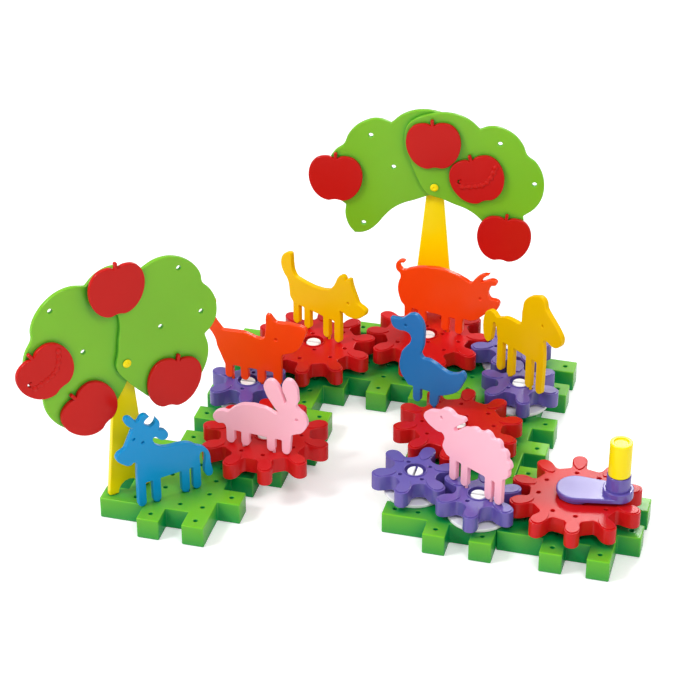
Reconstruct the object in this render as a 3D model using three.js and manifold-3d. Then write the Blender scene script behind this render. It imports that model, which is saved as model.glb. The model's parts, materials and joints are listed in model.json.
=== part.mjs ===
// A farm gear set: interlocking base plates, a hand crank, ten meshing gears on
// plug-in axle hubs, farm animals that ride on the gears, and two apple trees.
// Millimetres, +Z up, seen from the front along +Y.
import * as THREE from 'three';
import { mergeVertices } from 'three/addons/utils/BufferGeometryUtils.js';
import Module from 'manifold-3d';

const wasm = await Module();
wasm.setup();

// Driving sizes
const cell = 16;
const plateHeight = 16;
const plateJointGap = 0.3;
const fitGap = 0.3;
const cutOverrun = 1;

// Pegs and the sockets they plug into
const pegRadius = 1.1;
const pegLength = 5;
const socketRadius = 2;
const socketDepth = 6;
const pegSideCount = 6;
const socketSideCount = 4;
const pegSpan = cell * Math.SQRT2;
const innerPegs = [-pegSpan / 2, pegSpan / 2];

// Axle hubs
const hubDiscRadius = 21.5;
const hubDiscHeight = 2.5;
const hubCollarRadius = 9;
const hubCollarHeight = 2.4;
const studRadius = 4.6;
const studHeadRadius = 5.4;
const studHeadHeight = 2;
const studHeadSink = 1;
const studSlotWidth = 1.6;
const studSlotDepth = 8;

// Gears
const largeTeeth = 10;
const smallTeeth = 6;
const gearModule = 8;
const toothRise = 6.4;
const toothDrop = 9.2;
const toothWidth = 10.4;
const gearThickness = 12.4;
const boreGap = 0.3;
const recessRadius = 7.4;
const recessDepth = studHeadSink + studHeadHeight + fitGap;
const holeRingRadius = 25.4;
const holeSpacing = 5.2;
const toothSideShares = [[0, 0.62], [0.1, 0.49], [0.45, 0.5], [0.76, 0.46], [0.94, 0.26]];

// Crank
const crankThrow = 28;
const crankLean = -32;
const armThickness = 3.6;
const armLift = 2;
const armHubRadius = 13.8;
const armFootRadius = 13;
const armEndRadius = 10.5;
const bossRadius = 8.3;
const bossHeight = 14.2;
const collarHeight = 3.6;
const spindleRadius = 3.2;
const spindleShort = 6;
const knobRadius = 7.7;
const knobLength = 26;
const knobWallGap = 0.4;
const knobCapThickness = 2.4;
const knobDentRadius = 5;
const knobDentDepth = 1;

// Flat farm animals
const figureLength = 80;
const figureThickness = 4;
const legWidth = 6.1;
const outerLegOffset = 20.8;
const innerLegOffset = 9.6;
const eyeRadius = 1.1;
const eyeDepth = 0.8;

// Trees
const trunkThickness = 4;
const trunkBaseWidth = 31;
const trunkTopWidth = 11;
const trunkHeight = 114;
const trunkArchHeight = 9;
const rivetEdge = 7;
const rivetHeight = trunkHeight - rivetEdge;
const rivetRadius = 2.2;
const rivetHeadRadius = 3.1;
const rivetHeadHeight = 1.2;
const rivetHoleGap = 0.4;
const panelThickness = 3;
const panelReach = 80;
const appleWidthShare = 0.51;
const appleWidth = panelReach * appleWidthShare;
const appleThickness = 3;
const pinRiseShare = 0.085;
const applePinRise = appleWidth * pinRiseShare;
const applePinRadius = 1.3;
const appleHoleRadius = 1.8;
const wormBeadRadius = 2;
const biteRadius = 2;
const wormBeadRise = 1;

// Heights that follow from the sizes above
const plateTop = plateHeight;
const hubTop = plateTop + hubDiscHeight + hubCollarHeight;
const gearBottom = hubTop + fitGap;
const gearTop = gearBottom + gearThickness;
const armBottom = gearTop + armLift;
const armTop = armBottom + armThickness;
const knobBottom = armTop + bossHeight + fitGap;

const colours = {
  plateGreen: 0x4fae3a,
  leafGreen: 0x7db832,
  gearRed: 0xc8202a,
  appleRed: 0xc42a22,
  gearPurple: 0x7a6cc0,
  hubWhite: 0xf4f4f0,
  yellow: 0xf4d000,
  horseYellow: 0xe8b800,
  cowBlue: 0x0a93c8,
  gooseBlue: 0x2f74b5,
  pink: 0xf0b0c0,
  orange: 0xea4a18,
};

const surfaces = {};
for (const [name, colour] of Object.entries(colours)) {
  surfaces[name] = new THREE.MeshStandardMaterial({ color: colour, roughness: 0.3, metalness: 0 });
}

// Closed solids: joined and cut as manifolds

function toSolid(geometry) {
  const bare = geometry.clone();
  bare.deleteAttribute('normal');
  bare.deleteAttribute('uv');
  const merged = mergeVertices(bare);
  return new wasm.Manifold(new wasm.Mesh({
    numProp: 3,
    vertProperties: new Float32Array(merged.attributes.position.array),
    triVerts: new Uint32Array(merged.index.array),
  }));
}

function toGeometry(solid) {
  const mesh = solid.getMesh();
  const geometry = new THREE.BufferGeometry();
  const places = new THREE.BufferAttribute(new Float32Array(mesh.vertProperties), 3);
  geometry.setAttribute('position', places);
  geometry.setIndex(new THREE.BufferAttribute(new Uint32Array(mesh.triVerts), 1));
  geometry.computeVertexNormals();
  return geometry;
}

function joinAll(first, others) {
  return others.reduce((whole, piece) => whole.add(piece), first);
}

function cutAll(first, cutters) {
  return cutters.reduce((whole, piece) => whole.subtract(piece), first);
}

const degree = Math.PI / 180;

function turned(x, y, angle) {
  return [x * Math.cos(angle) - y * Math.sin(angle), x * Math.sin(angle) + y * Math.cos(angle)];
}

// An upright cylinder from one height to another
function post(radius, low, high, sides, x = 0, y = 0) {
  const geometry = new THREE.CylinderGeometry(radius, radius, high - low, sides);
  geometry.rotateX(Math.PI / 2);
  geometry.translate(x, y, (low + high) / 2);
  return toSolid(geometry);
}

function block(sizeX, sizeY, low, high, x = 0, y = 0) {
  const geometry = new THREE.BoxGeometry(sizeX, sizeY, high - low);
  geometry.translate(x, y, (low + high) / 2);
  return toSolid(geometry);
}

function flatSlab(points, low, high) {
  const shape = new THREE.Shape(points.map(([x, y]) => new THREE.Vector2(x, y)));
  const geometry = new THREE.ExtrudeGeometry(shape, { depth: high - low, bevelEnabled: false });
  geometry.translate(0, 0, low);
  return toSolid(geometry);
}

// A slab that stands on edge: the outline's second axis becomes height
function standingSlab(points, front, back) {
  const shape = new THREE.Shape(points.map(([x, z]) => new THREE.Vector2(x, z)));
  const geometry = new THREE.ExtrudeGeometry(shape, { depth: back - front, bevelEnabled: false });
  geometry.rotateX(Math.PI / 2);
  geometry.translate(0, back, 0);
  return toSolid(geometry);
}

// A cylinder that lies along Y, through a standing slab
function crossPin(radius, front, back, sides, x, z) {
  const geometry = new THREE.CylinderGeometry(radius, radius, back - front, sides);
  geometry.translate(x, (front + back) / 2, z);
  return toSolid(geometry);
}

// Base plate: five by five cells with two tabs on the front and right sides
// and two matching slots on the back and left sides

const tabStarts = [-1, 1];
const plateLowX = -3;
const plateHighX = 2;
const plateLowY = -2;
const plateHighY = 3;

function plateOutline() {
  const inset = plateJointGap / 2;
  const west = plateLowX * cell + inset;
  const east = plateHighX * cell - inset;
  const south = plateLowY * cell + inset;
  const north = plateHighY * cell - inset;
  const points = [[west, south]];
  for (const start of tabStarts) {
    const low = start * cell + inset;
    const high = (start + 1) * cell - inset;
    points.push([low, south], [low, south - cell], [high, south - cell], [high, south]);
  }
  // The last front tab ends flush with the plate's right side
  for (const start of tabStarts) {
    const low = start * cell + inset;
    const high = (start + 1) * cell - inset;
    points.push([east, low], [east + cell, low], [east + cell, high], [east, high]);
  }
  points.push([east, north - cell]);
  for (const start of [...tabStarts].reverse()) {
    const low = start * cell - inset;
    const high = (start + 1) * cell + inset;
    if (high < east) {
      points.push([high, north], [high, north - cell]);
    }
    points.push([low, north - cell], [low, north]);
  }
  points.push([west, north]);
  for (const start of [...tabStarts].reverse()) {
    const low = start * cell - inset;
    const high = (start + 1) * cell + inset;
    points.push([west, high], [west + cell, high], [west + cell, low], [west, low]);
  }
  return points.filter(([x, y], i) => {
    const [nextX, nextY] = points[(i + 1) % points.length];
    return Math.hypot(nextX - x, nextY - y) > 0;
  });
}

function isPlateCell(column, row) {
  const inBody = column >= plateLowX && column < plateHighX && row >= plateLowY && row < plateHighY;
  const inTabLine = (index) => tabStarts.includes(index);
  const backSlot = row === plateHighY - 1 && inTabLine(column);
  const leftSlot = column === plateLowX && inTabLine(row);
  const frontTab = row === plateLowY - 1 && inTabLine(column);
  const rightTab = column === plateHighX && inTabLine(row);
  return (inBody && !backSlot && !leftSlot) || frontTab || rightTab;
}

function makePlate() {
  const sockets = [];
  for (let column = plateLowX; column <= plateHighX; column += 1) {
    for (let row = plateLowY - 1; row < plateHighY; row += 1) {
      if (!isPlateCell(column, row)) continue;
      const x = (column + 0.5) * cell;
      const y = (row + 0.5) * cell;
      const low = plateTop - socketDepth;
      sockets.push(post(socketRadius, low, plateTop + cutOverrun, socketSideCount, x, y));
    }
  }
  return toGeometry(cutAll(flatSlab(plateOutline(), 0, plateTop), sockets));
}

// Axle hub: a wide foot, a spacer collar and a split stud with a snap head

const discSideCount = 18;
const studSideCount = 10;

function makeHub() {
  const discTop = plateTop + hubDiscHeight;
  const headTop = gearTop - studHeadSink;
  const foot = post(hubDiscRadius, plateTop, discTop, discSideCount);
  const collar = post(hubCollarRadius, plateTop, hubTop, studSideCount);
  const stud = post(studRadius, plateTop, headTop - studHeadHeight / 2, studSideCount);
  const head = post(studHeadRadius, headTop - studHeadHeight, headTop, studSideCount);
  const pegs = [-1, 1].map((side) => post(
    pegRadius,
    plateTop - pegLength,
    discTop,
    pegSideCount,
    side * cell / 2,
    side * cell / 2,
  ));
  const slot = block(studSlotWidth, hubCollarRadius * 2, headTop - studSlotDepth, headTop + cutOverrun);
  return toGeometry(joinAll(foot, [collar, stud, head, ...pegs]).subtract(slot));
}

// Gears with petal-shaped teeth

function pitchRadius(teeth) {
  return teeth * gearModule / 2;
}

function gearOutline(teeth) {
  const root = pitchRadius(teeth) - toothDrop;
  const reach = toothRise + toothDrop;
  const side = toothSideShares.map(([rise, width]) => [root + rise * reach, width * toothWidth]);
  const tooth = [...side.map(([r, w]) => [r, -w]), ...[...side].reverse()];
  const points = [];
  for (let i = 0; i < teeth; i += 1) {
    const angle = i * 2 * Math.PI / teeth;
    for (const [r, w] of tooth) {
      points.push(turned(r, w, angle));
    }
  }
  return points;
}

// Socket places on a gear's face, measured from the gear's centre: those that
// hold the rider's pegs, then the regular pattern wherever there is room
function gearSockets(teeth, patternTurn, riderPegs) {
  const quarters = [0, 1, 2, 3].map((quarter) => quarter * Math.PI / 2);
  const square = quarters.map((quarter) => turned(pegSpan / 2, 0, patternTurn + quarter));
  const ring = [];
  for (const quarter of quarters) {
    for (const lean of [Math.atan2(1, 3), Math.atan2(3, 1)]) {
      ring.push(turned(holeRingRadius, 0, quarter + lean + patternTurn + Math.PI / 4));
    }
  }
  const pattern = teeth === largeTeeth ? [...square, ...ring] : square;
  const isFree = ([x, y]) => riderPegs.every(([px, py]) => Math.hypot(x - px, y - py) > holeSpacing);
  const free = pattern.filter(isFree);
  return [...riderPegs, ...free];
}

function makeGear(teeth, turn, sockets) {
  const points = gearOutline(teeth).map(([x, y]) => turned(x, y, turn));
  const cutters = sockets.map(([x, y]) => post(
    socketRadius,
    gearTop - socketDepth,
    gearTop + cutOverrun,
    socketSideCount,
    x,
    y,
  ));
  const bore = post(studRadius + boreGap, gearBottom - cutOverrun, gearTop, studSideCount);
  const recess = post(recessRadius, gearTop - recessDepth, gearTop + cutOverrun, studSideCount);
  return toGeometry(cutAll(flatSlab(points, gearBottom, gearTop), [bore, recess, ...cutters]));
}

// Crank arm: a teardrop plate on a foot that plugs into the gear, with a stepped
// boss and a spindle for the knob at its outer end. It leans from its pegs' line.

const arcStepCount = 6;

function teardropOutline(nearRadius, farRadius, distance) {
  const lean = Math.acos((nearRadius - farRadius) / distance);
  const points = [];
  for (let i = 0; i <= arcStepCount * 2; i += 1) {
    const angle = lean + i * (2 * Math.PI - 2 * lean) / (arcStepCount * 2);
    points.push([nearRadius * Math.cos(angle), nearRadius * Math.sin(angle)]);
  }
  for (let i = 0; i <= arcStepCount; i += 1) {
    const angle = -lean + i * 2 * lean / arcStepCount;
    points.push([distance + farRadius * Math.cos(angle), farRadius * Math.sin(angle)]);
  }
  return points;
}

function makeCrankArm(turn) {
  const armMiddle = armBottom + armThickness / 2;
  const plate = flatSlab(teardropOutline(armHubRadius, armEndRadius, crankThrow), armBottom, armTop);
  const foot = post(armFootRadius, gearTop + fitGap, armMiddle, studSideCount);
  const collar = post(armEndRadius, armMiddle, armTop + collarHeight, studSideCount, crankThrow);
  const boss = post(bossRadius, armMiddle, armTop + bossHeight, studSideCount, crankThrow);
  const spindleTop = knobBottom + knobLength - spindleShort;
  const spindle = post(spindleRadius, armTop, spindleTop, studSideCount, crankThrow);
  const pegs = innerPegs.map((along) => {
    const [x, y] = turned(along, 0, -crankLean * degree);
    return post(pegRadius, gearTop - pegLength, armMiddle, pegSideCount, x, y);
  });
  const geometry = toGeometry(joinAll(plate, [foot, collar, boss, spindle, ...pegs]));
  geometry.rotateZ(turn);
  return geometry;
}

// The knob is a cap over the spindle, with a shallow dent in its top
function makeKnob() {
  const top = knobBottom + knobLength;
  const dentLow = top - knobDentDepth;
  const outside = post(knobRadius, knobBottom, top, studSideCount);
  const bore = post(
    spindleRadius + knobWallGap,
    knobBottom - cutOverrun,
    dentLow - knobCapThickness,
    studSideCount,
  );
  const dent = post(knobDentRadius, dentLow, top + cutOverrun, studSideCount);
  return toGeometry(cutAll(outside, [bore, dent]));
}

// Animals. Each outline runs from the last leg up the right side, over the
// back and down to the first leg, as shares of the figure length.

const cowShares = [
  [0.266, 0.21], [0.263, 0.27], [0.262, 0.335], [0.275, 0.361], [0.295, 0.36], [0.313, 0.332],
  [0.317, 0.278], [0.309, 0.219], [0.303, 0.169], [0.312, 0.124], [0.338, 0.093], [0.369, 0.094],
  [0.384, 0.129], [0.377, 0.174], [0.367, 0.23], [0.364, 0.294], [0.35, 0.348], [0.318, 0.395],
  [0.276, 0.425], [0.238, 0.445], [0.201, 0.477], [0.154, 0.502], [0.078, 0.518], [0.002, 0.523],
  [-0.063, 0.536], [-0.112, 0.56], [-0.148, 0.592], [-0.168, 0.628], [-0.168, 0.655], [-0.15, 0.664],
  [-0.131, 0.651], [-0.11, 0.628], [-0.078, 0.61], [-0.043, 0.614], [-0.025, 0.643], [-0.033, 0.68],
  [-0.06, 0.709], [-0.09, 0.721], [-0.115, 0.726], [-0.1, 0.77], [-0.104, 0.809], [-0.128, 0.849],
  [-0.139, 0.82], [-0.156, 0.796], [-0.18, 0.784], [-0.215, 0.802], [-0.242, 0.829], [-0.238, 0.855],
  [-0.217, 0.873], [-0.193, 0.886], [-0.207, 0.906], [-0.234, 0.919], [-0.262, 0.915], [-0.282, 0.898],
  [-0.298, 0.874], [-0.32, 0.876], [-0.336, 0.902], [-0.357, 0.93], [-0.384, 0.944], [-0.408, 0.941],
  [-0.421, 0.914], [-0.411, 0.878], [-0.386, 0.845], [-0.354, 0.823], [-0.37, 0.774], [-0.392, 0.725],
  [-0.415, 0.677], [-0.438, 0.637], [-0.472, 0.622], [-0.5, 0.605], [-0.515, 0.577], [-0.512, 0.546],
  [-0.491, 0.518], [-0.451, 0.483], [-0.412, 0.458], [-0.382, 0.457], [-0.358, 0.472], [-0.336, 0.465],
  [-0.331, 0.4],
];
const rabbitShares = [
  [0.312, 0.2], [0.35, 0.228], [0.4, 0.25], [0.438, 0.294], [0.46, 0.35], [0.454, 0.4], [0.425, 0.45],
  [0.381, 0.485], [0.36, 0.51], [0.38, 0.575], [0.375, 0.662], [0.35, 0.731], [0.312, 0.769],
  [0.269, 0.769], [0.24, 0.731], [0.235, 0.662], [0.258, 0.6], [0.266, 0.54], [0.254, 0.53],
  [0.24, 0.575], [0.219, 0.638], [0.181, 0.706], [0.138, 0.735], [0.088, 0.719], [0.062, 0.669],
  [0.075, 0.606], [0.112, 0.531], [0.162, 0.456], [0.188, 0.419], [0.175, 0.394], [0.125, 0.416],
  [0.05, 0.438], [-0.038, 0.445], [-0.125, 0.431], [-0.2, 0.394], [-0.25, 0.35], [-0.281, 0.322],
  [-0.338, 0.322], [-0.394, 0.294], [-0.422, 0.25], [-0.412, 0.206], [-0.369, 0.181], [-0.322, 0.188],
];
const catShares = [
  [0.305, 0.29], [0.315, 0.335], [0.35, 0.356], [0.412, 0.381], [0.469, 0.431], [0.506, 0.5],
  [0.538, 0.588], [0.542, 0.65], [0.5, 0.669], [0.438, 0.676], [0.362, 0.679], [0.305, 0.674],
  [0.256, 0.675], [0.225, 0.706], [0.2, 0.735], [0.172, 0.737], [0.162, 0.7], [0.162, 0.625],
  [0.154, 0.55], [0.135, 0.48], [0.062, 0.475], [0, 0.494], [-0.075, 0.506], [-0.162, 0.502],
  [-0.25, 0.495], [-0.288, 0.531], [-0.325, 0.581], [-0.352, 0.63], [-0.352, 0.675], [-0.328, 0.725],
  [-0.322, 0.775], [-0.35, 0.81], [-0.388, 0.794], [-0.412, 0.738], [-0.419, 0.662], [-0.412, 0.575],
  [-0.388, 0.494], [-0.35, 0.438], [-0.325, 0.381], [-0.31, 0.31],
];
const dogShares = [
  [0.298, 0.275], [0.29, 0.352], [0.325, 0.352], [0.375, 0.335], [0.45, 0.338], [0.512, 0.356],
  [0.562, 0.394], [0.604, 0.444], [0.606, 0.481], [0.575, 0.5], [0.512, 0.519], [0.488, 0.562],
  [0.45, 0.638], [0.425, 0.706], [0.419, 0.74], [0.388, 0.735], [0.362, 0.704], [0.338, 0.741],
  [0.3, 0.738], [0.262, 0.694], [0.238, 0.638], [0.2, 0.575], [0.144, 0.525], [0.062, 0.498],
  [-0.038, 0.485], [-0.15, 0.488], [-0.25, 0.5], [-0.294, 0.544], [-0.312, 0.625], [-0.316, 0.7],
  [-0.325, 0.731], [-0.362, 0.729], [-0.412, 0.694], [-0.444, 0.631], [-0.444, 0.562], [-0.412, 0.494],
  [-0.369, 0.444], [-0.348, 0.375], [-0.338, 0.275],
];
const pigShares = [
  [0.3, 0.162], [0.38, 0.175], [0.45, 0.212], [0.512, 0.275], [0.575, 0.331], [0.625, 0.35],
  [0.65, 0.388], [0.65, 0.45], [0.612, 0.462], [0.569, 0.462], [0.544, 0.5], [0.55, 0.55], [0.575, 0.6],
  [0.619, 0.619], [0.625, 0.65], [0.594, 0.669], [0.544, 0.656], [0.5, 0.631], [0.475, 0.619],
  [0.488, 0.656], [0.519, 0.688], [0.55, 0.715], [0.494, 0.706], [0.438, 0.669], [0.394, 0.612],
  [0.369, 0.581], [0.312, 0.6], [0.225, 0.631], [0.125, 0.65], [0.025, 0.654], [-0.075, 0.638],
  [-0.175, 0.612], [-0.262, 0.575], [-0.312, 0.548], [-0.338, 0.556], [-0.356, 0.588], [-0.338, 0.619],
  [-0.306, 0.631], [-0.304, 0.65], [-0.344, 0.648], [-0.381, 0.619], [-0.394, 0.575], [-0.381, 0.531],
  [-0.35, 0.504], [-0.344, 0.475], [-0.362, 0.412], [-0.37, 0.338], [-0.356, 0.262], [-0.331, 0.2],
];
const horseShares = [
  [0.306, 0.33], [0.304, 0.438], [0.295, 0.525], [0.3, 0.58], [0.35, 0.588], [0.388, 0.572],
  [0.438, 0.571], [0.488, 0.6], [0.519, 0.65], [0.519, 0.706], [0.475, 0.762], [0.412, 0.819],
  [0.35, 0.869], [0.306, 0.912], [0.288, 0.969], [0.262, 0.995], [0.206, 0.998], [0.125, 0.962],
  [0.062, 0.91], [0.022, 0.835], [0.008, 0.738], [0.006, 0.65], [-0.012, 0.612], [-0.075, 0.602],
  [-0.15, 0.598], [-0.225, 0.581], [-0.278, 0.554], [-0.315, 0.54], [-0.35, 0.563], [-0.4, 0.57],
  [-0.45, 0.543], [-0.482, 0.48], [-0.495, 0.4], [-0.49, 0.32], [-0.472, 0.255], [-0.432, 0.225],
  [-0.395, 0.25], [-0.375, 0.32], [-0.365, 0.4], [-0.353, 0.462], [-0.337, 0.47], [-0.318, 0.43],
  [-0.308, 0.36],
];
const gooseShares = [
  [0.125, 0.125], [0.162, 0.144], [0.212, 0.169], [0.275, 0.206], [0.331, 0.269], [0.366, 0.35],
  [0.372, 0.425], [0.35, 0.448], [0.3, 0.419], [0.238, 0.4], [0.162, 0.412], [0.088, 0.45],
  [0.012, 0.472], [-0.05, 0.475], [-0.069, 0.506], [-0.056, 0.55], [-0.041, 0.625], [-0.038, 0.712],
  [-0.044, 0.794], [-0.075, 0.862], [-0.131, 0.9], [-0.194, 0.881], [-0.238, 0.838], [-0.269, 0.816],
  [-0.325, 0.806], [-0.375, 0.8], [-0.372, 0.769], [-0.344, 0.712], [-0.288, 0.694], [-0.225, 0.7],
  [-0.181, 0.681], [-0.166, 0.638], [-0.181, 0.588], [-0.225, 0.531], [-0.262, 0.462], [-0.279, 0.375],
  [-0.275, 0.3], [-0.244, 0.225], [-0.188, 0.156],
];
const sheepShares = [
  [0.306, 0.225], [0.312, 0.275], [0.35, 0.306], [0.369, 0.35], [0.369, 0.394], [0.388, 0.425],
  [0.375, 0.475], [0.35, 0.494], [0.348, 0.538], [0.319, 0.572], [0.281, 0.575], [0.269, 0.619],
  [0.231, 0.638], [0.181, 0.625], [0.15, 0.656], [0.1, 0.666], [0.06, 0.638], [0.025, 0.626],
  [-0.012, 0.638], [-0.056, 0.625], [-0.1, 0.6], [-0.15, 0.579], [-0.194, 0.54], [-0.238, 0.5],
  [-0.25, 0.512], [-0.212, 0.569], [-0.162, 0.615], [-0.134, 0.645], [-0.144, 0.669], [-0.194, 0.666],
  [-0.25, 0.656], [-0.288, 0.675], [-0.338, 0.681], [-0.388, 0.662], [-0.425, 0.625], [-0.475, 0.6],
  [-0.538, 0.575], [-0.588, 0.531], [-0.6, 0.494], [-0.562, 0.45], [-0.5, 0.425], [-0.425, 0.412],
  [-0.381, 0.419], [-0.356, 0.388], [-0.366, 0.338], [-0.375, 0.294], [-0.344, 0.244], [-0.325, 0.225],
];

const footStepCount = 3;
const twoLegOffsets = [-0.1, 0.069].map((share) => share * figureLength);
const cowLegOffsets = [-0.295, -0.154, 0.12, 0.23].map((share) => share * figureLength);
const sheepLegOffsets = [-0.287, -0.155, 0.118, 0.228].map((share) => share * figureLength);
const catLegOffsets = [-0.172, -0.022, 0.137, 0.292].map((share) => share * figureLength);
const fourLegOffsets = [-outerLegOffset, -innerLegOffset, innerLegOffset, outerLegOffset];

// An outline that sits further along its pegs' line
function slid(shares, slideShare) {
  return shares.map(([x, z]) => [x + slideShare, z]);
}

// The bottom edge: round-ended legs from left to right, with the belly between
function legPoints(legOffsets, bellyHeight) {
  const points = [];
  const half = legWidth / 2;
  legOffsets.forEach((centre, index) => {
    points.push([centre - half, bellyHeight]);
    for (let i = 0; i <= footStepCount; i += 1) {
      const angle = Math.PI + i * Math.PI / footStepCount;
      points.push([centre + half * Math.cos(angle), half + half * Math.sin(angle)]);
    }
    if (index < legOffsets.length - 1) {
      points.push([centre + half, bellyHeight]);
    }
  });
  return points;
}

function makeFigure({ bodyShares, legOffsets, bellyShare, eyeShares, pegPlaces }) {
  const body = bodyShares.map(([x, z]) => [x * figureLength, z * figureLength]);
  const outline = [...legPoints(legOffsets, bellyShare * figureLength), ...body];
  const half = figureThickness / 2;
  const slab = standingSlab(outline, -half, half);
  const pegs = pegPlaces.map((x) => post(pegRadius, -pegLength, legWidth / 2, pegSideCount, x, 0));
  const eyes = eyeShares.flatMap(([x, z]) => [-1, 1].map((side) => crossPin(
    eyeRadius,
    Math.min(side * (half - eyeDepth), side * (half + cutOverrun)),
    Math.max(side * (half - eyeDepth), side * (half + cutOverrun)),
    pegSideCount,
    x * figureLength,
    z * figureLength,
  )));
  return toGeometry(cutAll(joinAll(slab, pegs), eyes));
}

// Places, in cells, of the plates and of the gears' axles

const plateCells = [[-12, -2], [-10, 3], [-10, 8], [-5, 10], [0, 10], [0, 5], [0, 0], [5, 0]];

// Each gear's axle place in cells, tooth direction and hole pattern direction. A
// hub is turned where one of its pegs would else come down in a plate's slot.
const gears = {
  large_gear_1: { teeth: largeTeeth, place: [5, 0], turn: 24, pattern: 35.4 },
  small_gear_1: { teeth: smallTeeth, place: [1, -1], turn: 29, pattern: -30.4 },
  small_gear_2: { teeth: smallTeeth, place: [-2, 0], turn: 21.5, pattern: 37, hubTurn: 90 },
  large_gear_2: { teeth: largeTeeth, place: [-1, 4], turn: 19.5, pattern: -19.2 },
  small_gear_3: { teeth: smallTeeth, place: [1, 8], turn: 46.5, pattern: -36.2 },
  small_gear_4: { teeth: smallTeeth, place: [0, 11], turn: 17.5, pattern: 20 },
  large_gear_3: { teeth: largeTeeth, place: [-4, 11], turn: 7.5, pattern: 15 },
  large_gear_4: { teeth: largeTeeth, place: [-9, 9], turn: 21, pattern: 18 },
  small_gear_5: { teeth: smallTeeth, place: [-11, 5], turn: 43, pattern: -3.9 },
  large_gear_5: { teeth: largeTeeth, place: [-9, 1], turn: 33.5, pattern: 39 },
};

// Each animal: what it stands on, its direction, and how many cells it stands
// along and across that direction from the gear's axle or the plate's middle
const animals = {
  figure_cow: {
    place: [-12, -3], turn: 45, along: 0, across: 0, surface: surfaces.cowBlue,
    shape: { bodyShares: cowShares, legOffsets: cowLegOffsets, bellyShare: 0.232, pegPlaces: innerPegs,
      eyeShares: [[-0.346, 0.71], [-0.265, 0.651]] },
  },
  figure_rabbit: {
    gear: 'large_gear_5', turn: -5.8, along: 0.156, across: -1.094, surface: surfaces.pink,
    shape: { bodyShares: rabbitShares, legOffsets: fourLegOffsets, bellyShare: 0.138, pegPlaces: innerPegs,
      eyeShares: [[0.361, 0.381]] },
  },
  figure_cat: {
    gear: 'small_gear_5', turn: -3.9, along: 0, across: 0, surface: surfaces.orange,
    shape: { bodyShares: slid(catShares, 0.03), legOffsets: catLegOffsets, bellyShare: 0.138,
      pegPlaces: innerPegs, eyeShares: [[0.286, 0.492]] },
  },
  figure_dog: {
    gear: 'large_gear_4', turn: -27, along: -0.344, across: 0.7, surface: surfaces.horseYellow,
    shape: { bodyShares: dogShares, legOffsets: fourLegOffsets, bellyShare: 0.213, pegPlaces: innerPegs,
      eyeShares: [[0.396, 0.475]] },
  },
  figure_pig: {
    gear: 'large_gear_3', turn: -11.2, along: 0.044, across: 0.619, surface: surfaces.orange,
    shape: { bodyShares: pigShares, legOffsets: fourLegOffsets, bellyShare: 0.156, pegPlaces: innerPegs,
      eyeShares: [[0.471, 0.438]] },
  },
  figure_horse: {
    gear: 'small_gear_3', turn: -36.2, along: 0, across: 0, surface: surfaces.horseYellow,
    shape: { bodyShares: horseShares, legOffsets: fourLegOffsets, bellyShare: 0.315, pegPlaces: innerPegs,
      eyeShares: [[0.278, 0.722]] },
  },
  figure_goose: {
    gear: 'large_gear_2', turn: -15.2, along: -1.894, across: 0.662, surface: surfaces.gooseBlue,
    shape: { bodyShares: gooseShares, legOffsets: twoLegOffsets, bellyShare: 0.146,
      pegPlaces: [twoLegOffsets[1]], eyeShares: [[-0.222, 0.762]] },
  },
  figure_sheep: {
    gear: 'small_gear_1', turn: -30.4, along: 0, across: 0, surface: surfaces.pink,
    shape: { bodyShares: slid(sheepShares, -0.035), legOffsets: sheepLegOffsets, bellyShare: 0.213,
      pegPlaces: innerPegs, eyeShares: [[-0.43, 0.57]] },
  },
};

// Trees. Two foliage panels and their apples hang on one rivet at the top of
// a flat trunk; the panels are one shape and its mirror image.

const foliageShares = [
  [-0.062, -0.072], [-0.165, 0.109], [-0.225, 0.281], [-0.263, 0.42], [-0.27, 0.53], [-0.24, 0.63],
  [-0.15, 0.705], [-0.03, 0.745], [0.1, 0.762], [0.22, 0.745], [0.325, 0.695], [0.42, 0.606],
  [0.49, 0.633], [0.575, 0.638], [0.665, 0.605], [0.752, 0.542], [0.815, 0.455], [0.858, 0.348],
  [0.925, 0.292], [0.975, 0.215], [1.005, 0.12], [1.01, 0.01], [0.985, -0.095], [0.925, -0.19],
  [0.822, -0.27], [0.828, -0.35], [0.815, -0.43], [0.785, -0.5], [0.734, -0.562], [0.665, -0.556],
  [0.59, -0.52], [0.52, -0.45], [0.46, -0.365], [0.385, -0.28], [0.29, -0.215], [0.18, -0.17],
  [0.07, -0.12],
];
const foliageHoleShares = [
  [0.605, 0.468], [0.922, 0.065], [0.386, 0.157], [0.652, -0.451], [-0.004, 0.494],
];
const appleShares = [
  [0.03, -0.455], [0.13, -0.476], [0.26, -0.435], [0.375, -0.335], [0.46, -0.18], [0.5, 0],
  [0.488, 0.16], [0.43, 0.3], [0.33, 0.395], [0.2, 0.43], [0.09, 0.42], [0.03, 0.385], [0.03, 0.5],
  [-0.03, 0.5], [-0.03, 0.385], [-0.09, 0.42], [-0.2, 0.43], [-0.33, 0.395], [-0.43, 0.3],
  [-0.488, 0.16], [-0.5, 0], [-0.46, -0.18], [-0.375, -0.335], [-0.26, -0.435], [-0.13, -0.476],
  [-0.03, -0.455],
];
const wormShares = [
  [-0.3, -0.075], [-0.185, -0.1], [-0.07, -0.122], [0.045, -0.13], [0.155, -0.1], [0.245, -0.03],
  [0.32, 0.055], [0.385, 0.145],
];
const biteShares = [-0.315, 0.035];

// Layers of a tree from the trunk forward, as front and back faces
const trunkHalf = trunkThickness / 2;
const backPanelLayer = [-trunkHalf - fitGap - panelThickness, -trunkHalf - fitGap];
const frontPanelLayer = backPanelLayer.map((y) => y - panelThickness - fitGap);
const appleLayer = (panelLayer) => [panelLayer[0] - fitGap - appleThickness, panelLayer[0] - fitGap];
const pinSideCount = 6;
const archStepCount = 8;

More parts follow.
